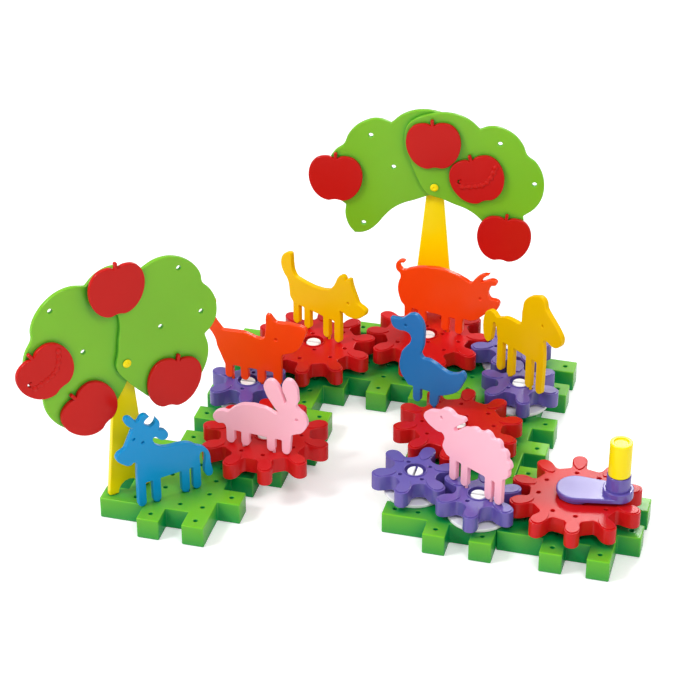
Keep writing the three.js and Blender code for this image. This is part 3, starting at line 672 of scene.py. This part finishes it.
def fill(node, values):
    """Sets a node's inputs by their names"""
    for name, value in values.items():
        node.inputs[name].default_value = value


def colour_socket(sockets, name):
    """A mix node's socket of this name that carries a colour"""
    return next(s for s in sockets if s.name == name and s.type == "RGBA")


def plastic(slot):
    """Glossy moulded plastic: slight colour drift, smears in the gloss, a faint ripple and, on the
    greens, painted shade in the creases
    """
    if slot in bpy.data.materials and bpy.data.materials[slot].get("gear_set"):
        return bpy.data.materials[slot]
    base = tuple(getattr(colours(), slot))
    material = bpy.data.materials.new(slot)
    material["gear_set"] = True
    material.use_nodes = True
    nodes = material.node_tree.nodes
    link = material.node_tree.links.new
    shader = nodes["Principled BSDF"]
    place = nodes.new("ShaderNodeTexCoord")

    def noise(scale, detail):
        texture = nodes.new("ShaderNodeTexNoise")
        fill(texture, {"Scale": scale, "Detail": detail})
        link(place.outputs["Object"], texture.inputs["Vector"])
        return texture.outputs["Fac"]

    def spread(value, side, span):
        """The value stretched from a span, or to it, as side says"""
        node = nodes.new("ShaderNodeMapRange")
        fill(node, {f"{side} Min": span[0], f"{side} Max": span[1]})
        link(value, node.inputs["Value"])
        return node.outputs["Result"]

    shades = nodes.new("ShaderNodeValToRGB")
    for stop, position, shade in zip(shades.color_ramp.elements, DRIFT_SPAN, DRIFT_SHADES):
        stop.position = position
        stop.color = (*(min(shade * c, 1) for c in base), 1)
    link(noise(*DRIFT), shades.inputs["Fac"])
    shown = shades.outputs["Color"]
    # Painted shade: a darker green is mixed in where ambient occlusion finds pieces close together
    if slot in PAINTED_SHADE_COLOURS:
        painted_shade_mask = nodes.new("ShaderNodeAmbientOcclusion")
        fill(painted_shade_mask, {"Distance": PAINTED_SHADE_REACH})
        painted_shade = nodes.new("ShaderNodeMix")
        painted_shade.data_type = "RGBA"
        colour_socket(painted_shade.inputs, "A").default_value = (*PAINTED_SHADE_COLOURS[slot], 1)
        link(spread(painted_shade_mask.outputs["AO"], "From", PAINTED_SHADE_SPAN), painted_shade.inputs["Factor"])
        link(shown, colour_socket(painted_shade.inputs, "B"))
        shown = colour_socket(painted_shade.outputs, "Result")
    link(shown, shader.inputs["Base Color"])
    link(spread(noise(*SMEARS), "To", GLOSS_SPAN), shader.inputs["Roughness"])

    bump = nodes.new("ShaderNodeBump")
    fill(bump, {"Strength": RIPPLE_STRENGTH, "Distance": RIPPLE_HEIGHT})
    link(noise(*RIPPLE), bump.inputs["Height"])
    link(bump.outputs["Normal"], shader.inputs["Normal"])

    weight, reach = TRANSLUCENCY.get(slot, PLAIN_TRANSLUCENCY)
    settings = {
        "Base Color": (*base, 1),
        "IOR": 1.5,
        "Specular IOR Level": SHEEN.get(slot, PLAIN_SHEEN),
        "Subsurface Weight": weight,
        "Subsurface Radius": reach,
        "Subsurface Scale": 1,
    }
    fill(shader, settings)
    return material


# Pieces


def nodes_named(start):
    """The frame's nodes whose names start so, in the order of their numbers"""
    return sorted((n for n in frame["nodes"] if n.startswith(start)), key=lambda n: (len(n), n))


def centre_of(loop):
    """The middle of a small round hole's loop"""
    return (loop.min(axis=0) + loop.max(axis=0)) / 2


def reach_of(loop, centre):
    return float(np.linalg.norm(loop - centre, axis=1).max())


def moved(mesh, x, y, z=0, onto=Matrix()):
    """The mesh itself, shifted by (x, y, z) and then taken onto a place"""
    mesh.transform(onto @ Matrix.Translation((x, y, z)))
    return mesh


def peg_places(node):
    """Where a piece's pegs end, each as (x, y, z), and the height of their tips"""
    points, _ = welded(node)
    low = points[:, 2].min()
    tips = points[points[:, 2] < low + LEVEL]
    groups = []
    for tip in tips:
        near = [g for g in groups if np.linalg.norm(np.mean(g, axis=0)[:2] - tip[:2]) < PEG_ROOM]
        if near:
            near[0].append(tip)
        else:
            groups.append([tip])
    return [np.mean(g, axis=0) for g in groups], low


def peg_meshes(node, level):
    """The round pegs under a piece, from their tips up into it"""
    radius = sizes().peg_radius
    places, low = peg_places(node)
    profile = post_profile(radius, low, level, radius / 3)
    return [moved(turned_solid(profile, PEG_SIDES), x, y) for x, y, _ in places]


def socket_floor(node, top):
    """The height of the highest floor of a node's blind holes"""
    points, _ = welded(node)
    return float(points[points[:, 2] < top - SOCKET_DEPTH][:, 2].max())


class PieceOperator:
    """What the operators share: making every node whose name starts in the ways given"""

    bl_options = {"REGISTER"}
    starts = ()

    def execute(self, context):
        for start in self.starts:
            for node in nodes_named(start):
                self.make(node)
        return {"FINISHED"}


class GEARSET_OT_plates(PieceOperator, bpy.types.Operator):
    """Builds the interlocking base plates with their peg holes"""

    bl_idname = "gear_set.plates"
    bl_label = "Base plates"
    starts = ("base_plate_",)

    def make(self, node):
        radius = sizes().hole_radius
        low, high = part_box(node)
        outline, holes, level = face_outline(node, UP)
        outline = rounded_corners(outline, sizes().corner_round, math.radians(30))
        centres = [centre_of(hole) for hole in holes]
        rings = [circle(centre, radius, HOLE_SIDES) for centre in centres]
        body = slab([outline, *rings], high.z - low.z, sizes().plate_round)
        body.transform(face_matrix(UP, level))
        floor = socket_floor(node, high.z)
        seeds = [(*centre, floor) for centre in centres]
        plugs = hole_floors(seeds, radius + OVERSIZE, floor - low.z, SLOTS[node])
        finish_piece(node, [body, plugs])


class GEARSET_OT_hubs(PieceOperator, bpy.types.Operator):
    """Builds the white axle hubs with their split snap studs"""

    bl_idname = "gear_set.hubs"
    bl_label = "Axle hubs"
    starts = ("axle_hub_",)
    # Bands of height that hold the snap head and the collar, and how far out only the foot reaches
    head_band = 0.004
    collar_band = 0.003
    foot_reach = 0.02
    stud_share = 0.8
    foot_round = 0.0007
    stud_round = 0.0004
    stud_sides = 28

    def make(self, node):
        points, _ = welded(node)
        low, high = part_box(node)
        middle = (low + high) / 2
        reach = np.hypot(points[:, 0] - middle.x, points[:, 1] - middle.y)
        height = points[:, 2]
        heights = sorted(set(np.round(height[reach > self.foot_reach], 5)))
        foot_low, foot_high = float(heights[0]), float(heights[-1])
        foot = float(reach.max())
        head = float(reach[height > high.z - self.head_band].max())
        on_collar = (height > foot_high + WELD) & (height < foot_high + self.collar_band)
        collar_top = float(height[on_collar].max())
        collar = float(reach[on_collar].max())
        profile = [(0, foot_low), (foot, foot_low), (foot, foot_high), (collar, foot_high)]
        profile += [(collar, collar_top), (0, collar_top)]
        base = turned_solid(soft_profile(profile, self.foot_round), sizes().rim_sides)
        along_x = self.slot_runs_along_x(points[height > high.z - LEVEL / 2], middle)
        turn = Matrix.Rotation(math.radians(0 if along_x else 90), 4, "Z")
        place = Matrix.Translation((middle.x, middle.y, 0)) @ turn
        studs = self.stud_halves(place, head, collar_top, high.z)
        finish_piece(node, [moved(base, middle.x, middle.y), *studs, *peg_meshes(node, foot_low)])

    def slot_runs_along_x(self, tops, middle):
        """True if the stud's top points lie further from its middle in Y than in X at the nearest"""
        return bool(np.abs(tops[:, 1] - middle.y).min() > np.abs(tops[:, 0] - middle.x).min())

    def stud_halves(self, place, head, low, high):
        """The two springy halves of a hub's stud, with the snap head on top"""
        head_height = sizes().stud_head
        posts = (
            (head * self.stud_share, low, high - head_height / 2),
            (head, high - head_height, high),
        )
        made = []
        for side in (-1, 1):
            for radius, bottom, top in posts:
                outline = self.half_disc(radius, side)
                outline = rounded_corners(outline, self.stud_round, math.radians(40))
                piece = slab([outline], top - bottom, self.stud_round)
                made.append(moved(piece, 0, 0, top, place))
        return made

    def half_disc(self, radius, side):
        """One half of a disc that the stud's slot splits, as an outline"""
        lean = math.asin(sizes().stud_gap / 2 / radius)
        span = math.pi - 2 * lean
        angles = [lean + span * k / self.stud_sides for k in range(self.stud_sides + 1)]
        return np.array([[radius * math.cos(a), side * radius * math.sin(a)] for a in angles])


class GEARSET_OT_gears(PieceOperator, bpy.types.Operator):
    """Builds the large and small gears, with a raised petal on each tooth"""

    bl_idname = "gear_set.gears"
    bl_label = "Gears"
    starts = ("large_gear_", "small_gear_")
    marked_gear = "small_gear_1"
    seat_round = 0.0003
    lip_round = 0.0002
    # The petal's egg: its sides, and how much wider it is at its outer end
    petal_sides = 40
    petal_egg = 0.28
    petal_depth_share = 1.5
    petal_round_share = 0.4
    # A ring on one tooth: how deep it sits, how wide its hole is, and how far out it lies
    mark_root = 0.0006
    mark_hole_share = 0.6
    mark_reach_share = 0.8
    mark_sides = 24

    def make(self, node):
        low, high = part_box(node)
        outer, holes, _ = face_outline(node, UP)
        recess = max(holes, key=lambda loop: abs(loop_area(loop)))
        axis = centre_of(recess)
        recess_radius = reach_of(recess, axis)
        bores, _ = face_loops(node, -UP)
        _, bore_holes = outer_and_holes([loop[:, :2] for loop in bores])
        bore_radius = reach_of(bore_holes[0], axis)
        petal_top = high.z + sizes().petal_rise
        face = petal_top - sizes().petal_relief
        outline = smoothed(outer, math.radians(85))
        sockets = [centre_of(hole) for hole in holes if hole is not recess]
        radius = sizes().hole_radius
        rings = [circle(c, radius, HOLE_SIDES) for c in sockets]
        rings.append(circle(axis, recess_radius, RIM_SIDES))
        body = slab([outline, *rings], face - low.z, sizes().gear_round)
        body.transform(face_matrix(UP, face))

        points, _ = welded(node)
        near_axis = np.linalg.norm(points[:, :2] - axis, axis=1) < recess_radius + LEVEL
        steps = points[near_axis & (points[:, 2] < high.z - LEVEL)][:, 2]
        seat_top = float(steps.max())
        seat = tube_profile(recess_radius + OVERSIZE, bore_radius, low.z, seat_top, self.seat_round)
        lip_radius = recess_radius + sizes().lip_width
        lip = tube_profile(lip_radius, recess_radius, face - OVERLAP, petal_top, self.lip_round)
        floor = socket_floor(node, high.z)
        seeds = [(*c, floor) for c in sockets]
        plugs = hole_floors(seeds, radius + OVERSIZE, floor - low.z, SLOTS[node])
        count, first, tip = self.tooth_facts(outer, axis)
        place = Matrix.Translation((*axis, petal_top)) @ Matrix.Rotation(first, 4, "Z")
        petals = self.petals(count, tip, place, SLOTS[node])
        seat, lip = (moved(turned_solid(profile, RIM_SIDES), *axis) for profile in (seat, lip))
        made = [body, seat, plugs, petals, lip]
        if node == self.marked_gear:
            made.append(self.tooth_mark(tip, place))
        finish_piece(node, made)

    def tooth_facts(self, outline, axis):
        """The number of teeth, the direction of one of them, and the tips' reach"""
        arms = outline - axis
        reach = np.linalg.norm(arms, axis=1)
        tips = arms[reach > reach.max() - LEVEL / 2]
        count = len(tips) // 2
        angles = np.arctan2(tips[:, 1], tips[:, 0])
        first = float(np.angle(np.exp(1j * angles * count).sum())) / count
        return count, first, float(reach.max())

    def petals(self, count, tip, place, slot):
        """The raised petals, one on each tooth"""
        relief = sizes().petal_relief
        depth = relief * self.petal_depth_share
        petal = slab([self.petal_outline(tip)], depth, relief * self.petal_round_share)
        ring = ring_of(petal, count, slot)
        ring.transform(place)
        return ring

    def petal_outline(self, tip):
        """An egg along +X that is wider at its outer end"""
        reach = sizes().petal_length / 2
        half_width = sizes().petal_width / 2
        middle = tip - sizes().petal_margin - reach
        angles = [2 * math.pi * k / self.petal_sides for k in range(self.petal_sides)]
        widths = [half_width * (1 + self.petal_egg * math.cos(a)) for a in angles]
        return np.array(
            [[middle + reach * math.cos(a), w * math.sin(a)] for a, w in zip(angles, widths)]
        )

    def tooth_mark(self, tip, place):
        """The small ring on the petal that points to the right and the back"""
        radius = sizes().mark_radius
        rise = sizes().petal_rise
        profile = tube_profile(radius, radius * self.mark_hole_share, -self.mark_root, rise, rise / 2)
        return moved(turned_solid(profile, self.mark_sides), tip * self.mark_reach_share, 0, 0, place)


class GEARSET_OT_crank(PieceOperator, bpy.types.Operator):
    """Builds the crank arm and the grip that spins on it"""

    bl_idname = "gear_set.crank"
    bl_label = "Crank"
    arm_round = 0.0009
    grip_round = 0.0008
    post_round = 0.0006
    collar_round = 0.0005
    foot_sides = 40
    grip_sides = 56

    def execute(self, context):
        self.arm("crank_arm")
        self.grip("crank_knob")
        return {"FINISHED"}

    def arm(self, node):
        loops, below = face_loops(node, -UP)
        outer, _ = outer_and_holes([loop[:, :2] for loop in loops])
        _, plate_high = face_loops(node, UP)
        plate_low = -below
        points, _ = welded(node)
        gear_low, gear_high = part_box("large_gear_1")
        axis = (gear_low + gear_high) / 2
        knob_low, knob_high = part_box("crank_knob")
        knob = (knob_low + knob_high) / 2
        outline = smoothed(without_straight_points(outer), math.radians(60))
        plate = slab([outline], plate_high - plate_low, self.arm_round)
        plate.transform(Matrix.Translation((0, 0, plate_high)))

        steps = np.unique(np.round(points[points[:, 2] > plate_high + LEVEL][:, 2], 5))
        lip_top, boss_top, pin_top = (float(step) for step in steps)
        lip_outer, lip_inner = self.reach_at(points, knob, lip_top)
        boss, _ = self.reach_at(points, knob, boss_top)
        pin, _ = self.reach_at(points, knob, pin_top)
        root = plate_high - OVERLAP
        profiles = {
            48: tube_profile(lip_outer, lip_inner, root, lip_top, self.collar_round),
            40: post_profile(boss, root, boss_top, self.post_round),
            32: post_profile(pin, root, pin_top, self.post_round),
        }
        around_knob = [moved(turned_solid(p, n), knob.x, knob.y) for n, p in profiles.items()]
        foot_low = float(points[points[:, 2] > gear_high.z][:, 2].min())
        foot_high = plate_low + OVERLAP
        foot_radius, _ = self.reach_at(points, axis, foot_low)
        profile = post_profile(foot_radius, foot_low, foot_high, self.collar_round)
        foot = moved(turned_solid(profile, self.foot_sides), axis.x, axis.y)
        finish_piece(node, [plate, *around_knob, foot, *peg_meshes(node, foot_high)])

    def reach_at(self, points, axis, height):
        """The widest and the narrowest ring of corner points around an axis at a height"""
        here = points[np.abs(points[:, 2] - height) < LEVEL]
        reach = np.hypot(here[:, 0] - axis.x, here[:, 1] - axis.y)
        return float(reach.max()), float(reach.min())

    def grip(self, node):
        low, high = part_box(node)
        middle = (low + high) / 2
        points, _ = welded(node)
        inside = points[(points[:, 2] > low.z + LEVEL) & (points[:, 2] < high.z - LEVEL)][:, 2]
        bore_top, dent_low = float(inside.min()), float(inside.max())
        outer, dent = self.reach_at(points, middle, high.z)
        _, bore = self.reach_at(points, middle, low.z)
        profile = [(0, dent_low), (dent, dent_low), (dent, high.z), (outer, high.z), (outer, low.z)]
        profile += [(bore, low.z), (bore, bore_top), (0, bore_top)]
        mesh = turned_solid(soft_profile(profile, self.grip_round), self.grip_sides)
        finish_piece(node, [moved(mesh, middle.x, middle.y)])


def round_hole(loop):
    """A circle with about the area of a many-sided hole"""
    centre = centre_of(loop)
    return circle(centre, reach_of(loop, centre) * ROUND_SHARE, ROUND_SIDES)


def sheet_piece(node, corner=80, longest=math.inf):
    """A standing flat piece, redrawn from its front face with smooth curves and rounded rims"""
    normal = broad_side(node)
    outer, holes, level = face_outline(node, normal)
    _, back = face_loops(node, -normal)
    thickness = level + back
    outline = smoothed(outer, math.radians(corner), longest=longest)
    outline = rounded_corners(outline, sizes().corner_round, math.radians(corner))
    rings = [round_hole(hole) for hole in holes]
    body = slab([outline, *rings], thickness, sizes().sheet_round)
    body.transform(face_matrix(normal, level))
    return body, normal, level, thickness, [centre_of(h) for h in holes]


class GEARSET_OT_animals(PieceOperator, bpy.types.Operator):
    """Builds the flat farm animals"""

    bl_idname = "gear_set.animals"
    bl_label = "Animals"
    starts = ("figure_",)
    eye_round = 0.0001

    def make(self, node):
        body, normal, level, thickness, eyes = sheet_piece(node, longest=sizes().straight_run)
        place = face_matrix(normal, level)
        low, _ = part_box(node)
        depth = sizes().eye_depth
        floor = post_profile(sizes().eye_radius, depth - thickness, -depth, self.eye_round)
        floors = [moved(turned_solid(floor, PEG_SIDES), *eye, 0, place) for eye in eyes]
        finish_piece(node, [body, *floors, *peg_meshes(node, low.z + PEG_HEIGHT)], normal)


class GEARSET_OT_trees(PieceOperator, bpy.types.Operator):
    """Builds the trunks, rivets and foliage panels"""

    bl_idname = "gear_set.trees"
    bl_label = "Trees"
    head_height = 0.0012
    rivet_round = 0.0004
    rivet_sides = 40

    def execute(self, context):
        for node in nodes_named("tree_trunk_"):
            body, normal, *_ = sheet_piece(node, 22)
            low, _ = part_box(node)
            finish_piece(node, [body, *peg_meshes(node, low.z + PEG_HEIGHT)], normal)
        for node in nodes_named("foliage_"):
            body, normal, *_ = sheet_piece(node, 42)
            finish_piece(node, [body], normal)
        for node in nodes_named("tree_rivet_"):
            self.rivet(node)
        return {"FINISHED"}

    def rivet(self, node):
        """A rivet with a domed head at each end and a dimple in the front one"""
        number = node.rsplit("_", 1)[1]
        normal = broad_side(f"tree_trunk_{number}")
        points, _ = welded(node)
        out = points @ np.array(normal)
        front, back = float(out.max()), float(out.min())
        flat = flattened([points], normal)[0]
        middle = centre_of(flat)
        reach = np.linalg.norm(flat - middle, axis=1)
        head, shank = float(reach.max()), float(reach.min())
        edge = self.head_height
        profile = [(0, back), (head * 0.6, back), (head, back + edge * 0.6), (head, back + edge)]
        profile += [(shank, back + edge), (shank, front - edge), (head, front - edge)]
        profile += [(head, front - edge * 0.6), (head * 0.6, front), (head * 0.35, front)]
        profile += [(head * 0.25, front - edge * 0.4), (0, front - edge * 0.4)]
        mesh = turned_solid(soft_profile(profile, self.rivet_round), self.rivet_sides)
        finish_piece(node, [moved(mesh, *middle, 0, face_matrix(normal, 0))], normal)


class GEARSET_OT_apples(PieceOperator, bpy.types.Operator):
    """Builds the apples that hang in the trees"""

    bl_idname = "gear_set.apples"
    bl_label = "Apples"
    starts = ("apple_",)
    # Smoothing bulges the outline a little, so it is drawn in to swing clear of the next apple
    neighbour_room = 0.987
    corner_share = 0.8
    pin_root = 0.0005
    pin_round = 0.0003
    # The crescent bite: its outer and inner arcs in degrees, and the inner arc's size and shift
    bite_outer = range(60, 301, 15)
    bite_inner = range(285, 74, -15)
    bite_inner_share = 0.75
    bite_shift = 0.35
    bead_sides = 20
    bead_rings = 10

    def make(self, node):
        normal = broad_side(node)
        points, _ = welded(node)
        outer, inner, level = face_outline(node, normal)
        _, back = face_loops(node, -normal)
        thickness = level + back
        sharpest = math.radians(50)
        outline = smoothed(outer, sharpest)
        outline = rounded_corners(outline, sizes().corner_round * self.corner_share, sharpest)
        middle = outline.mean(axis=0)
        outline = middle + (outline - middle) * self.neighbour_room
        place = face_matrix(normal, level)
        raised = float((points @ np.array(normal)).max())
        beads = []
        if inner:
            bead_loops, _ = face_loops(node, normal, raised)
            beads = [centre_of(loop) for loop in flattened(bead_loops, normal)]
        bites = [h for h in inner if all(np.linalg.norm(centre_of(h) - c) > LEVEL for c in beads)]
        body = slab([outline, *(self.bite(hole) for hole in bites)], thickness, sizes().sheet_round)
        body.transform(place)
        made = [body, self.pin(points, normal, level, thickness, place)]
        if beads:
            made += self.worm(beads, raised - level, place)
        finish_piece(node, made, normal)

    def bite(self, hole):
        """A crescent in the place of the frame's round hole"""
        centre = centre_of(hole)
        radius = reach_of(hole, centre)
        share = self.bite_inner_share
        outer = [math.radians(a) for a in self.bite_outer]
        inner = [math.radians(a) for a in self.bite_inner]
        points = [(radius * math.cos(a), radius * math.sin(a)) for a in outer]
        points += [
            (radius * (self.bite_shift + share * math.cos(a)), radius * share * math.sin(a))
            for a in inner
        ]
        return np.array(points) + centre

    def worm(self, beads, height, place):
        """A plump relief worm: a large bead in each of the frame's places and smaller ones between"""
        beads = sorted(beads, key=lambda bead: bead[0])
        made = [self.bead(bead, sizes().bead_radius, height, place) for bead in beads]
        for bead, following in zip(beads, beads[1:]):
            between = (bead + following) / 2
            made.append(self.bead(between, sizes().small_bead_radius, height * 0.75, place))
        return made

    def bead(self, centre, radius, height, place):
        angles = [math.pi * k / self.bead_rings for k in range(1, self.bead_rings)]
        around = [(radius * math.sin(a), -height * math.cos(a)) for a in angles]
        profile = [(0, -height), *around, (0, height)]
        return moved(turned_solid(profile, self.bead_sides), *centre, 0, place)

    def pin(self, points, normal, level, thickness, place):
        """The pin behind an apple that turns in the foliage's hole"""
        flat = flattened([points], normal)[0]
        out = points @ np.array(normal)
        low = float(out.min())
        tip = flat[out < low + LEVEL / 2]
        centre = centre_of(tip)
        radius = reach_of(tip, centre)
        profile = post_profile(radius, low - level, self.pin_root - thickness, self.pin_round)
        return moved(turned_solid(profile, HOLE_SIDES), *centre, 0, place)


# Stage: a pale floor, soft lamps and the photograph's camera


class GEARSET_OT_stage(PieceOperator, bpy.types.Operator):
    """Sets the pale floor, the lamps and the camera"""

    bl_idname = "gear_set.stage"
    bl_label = "Stage"

    def execute(self, context):
        self.floor()
        self.lamps()
        self.camera()
        view = context.scene.view_settings
        view.view_transform = "Standard"
        return {"FINISHED"}

    def floor(self):
        mesh = bpy.data.meshes.new("floor")
        half = 6
        corners = [(-half, -half, 0), (half, -half, 0), (half, half, 0), (-half, half, 0)]
        mesh.from_pydata(corners, [], [(0, 1, 2, 3)])
        floor = added("floor", mesh)
        floor.location.z = cad_low.z - FLOOR_GAP
        material = bpy.data.materials.new("pale floor")
        material.use_nodes = True
        nodes = material.node_tree.nodes
        link = material.node_tree.links.new
        shader = nodes["Principled BSDF"]
        settings = {
            "Base Color": (0.9, 0.9, 0.9, 1),
            "Roughness": 0.6,
            "Specular IOR Level": 0.1,
            "Emission Color": (1, 1, 1, 1),
        }
        fill(shader, settings)
        path = nodes.new("ShaderNodeLightPath")
        lift = nodes.new("ShaderNodeMath")
        lift.operation = "MULTIPLY"
        lift.inputs[1].default_value = FLOOR_LIFT
        link(path.outputs["Is Camera Ray"], lift.inputs[0])
        link(lift.outputs[0], shader.inputs["Emission Strength"])
        mesh.materials.append(material)

    def lamps(self):
        world = bpy.data.worlds.new("studio")
        bpy.context.scene.world = world
        world.use_nodes = True
        nodes = world.node_tree.nodes
        link = world.node_tree.links.new
        back = nodes["Background"]
        path = nodes.new("ShaderNodeLightPath")
        strength = nodes.new("ShaderNodeMapRange")
        fill(strength, {"To Min": WORLD_LIGHT, "To Max": 1.0})
        link(path.outputs["Is Camera Ray"], strength.inputs["Value"])
        link(strength.outputs["Result"], back.inputs["Strength"])
        fill(back, {"Color": (1, 1, 1, 1)})
        self.lamp("key", (-0.9, -0.7, 1.3), 0.4, 13)
        self.lamp("fill", (0.6, -0.8, 1.3), 0.35, 6)
        self.lamp("rim", (0.3, 1.3, 1.0), 0.6, 8)
        self.lamp("glint", (0.0, 1.63, 1.3), 0.35, 2.6)

    def lamp(self, name, place, size, power):
        data = bpy.data.lights.new(name, "AREA")
        data.shape = "SQUARE"
        data.size = size
        data.energy = power
        lamp = added(name, data)
        lamp.location = place
        lamp.rotation_euler = (-Vector(place)).to_track_quat("-Z", "Y").to_euler()

    def camera(self):
        """The photograph's view: its angles, distance, lens and aim"""
        azimuth = math.radians(14.872)
        elevation = math.radians(31.902)
        roll = math.radians(-0.088)
        distance = 1.8157
        focal_pixels = 2385.0
        frame_pixels = 680
        sensor = 36
        aim = Vector((-0.0583, 0.1213, 0.016))
        level = math.cos(elevation)
        out = Vector((math.sin(azimuth) * level, -math.cos(azimuth) * level, math.sin(elevation)))
        data = bpy.data.cameras.new("camera")
        data.sensor_width = sensor
        data.lens = focal_pixels / frame_pixels * sensor
        data.clip_end = 20
        camera = added("camera", data)
        camera.location = aim + out * distance
        look = (-out).to_track_quat("-Z", "Y")
        camera.rotation_euler = (look.to_matrix() @ Matrix.Rotation(roll, 3, "Z")).to_euler()
        bpy.context.scene.camera = camera


STEPS = (
    GEARSET_OT_stage,
    GEARSET_OT_plates,
    GEARSET_OT_hubs,
    GEARSET_OT_gears,
    GEARSET_OT_crank,
    GEARSET_OT_animals,
    GEARSET_OT_trees,
    GEARSET_OT_apples,
)


class GEARSET_PT_panel(bpy.types.Panel):
    """Lists the set's sizes, colours and building steps"""

    bl_label = "Farm gear set"
    bl_space_type = "VIEW_3D"
    bl_region_type = "UI"
    bl_category = "Gear set"

    def draw(self, context):
        for group in (sizes(), colours()):
            for name in group.bl_rna.properties.keys():
                if name not in ("rna_type", "name"):
                    self.layout.prop(group, name)
        for step in STEPS:
            self.layout.operator(step.bl_idname)


CLASSES = (SetSizes, SetColours, *STEPS, GEARSET_PT_panel)


def register():
    for kind in CLASSES:
        bpy.utils.register_class(kind)
    bpy.types.Scene.gear_set_sizes = PointerProperty(type=SetSizes)
    bpy.types.Scene.gear_set_colours = PointerProperty(type=SetColours)


def unregister():
    del bpy.types.Scene.gear_set_colours
    del bpy.types.Scene.gear_set_sizes
    for kind in reversed(CLASSES):
        bpy.utils.unregister_class(kind)


def main():
    register()
    for step in STEPS:
        group, name = step.bl_idname.split(".")
        getattr(getattr(bpy.ops, group), name)()


if __name__ == "__main__":
    main()
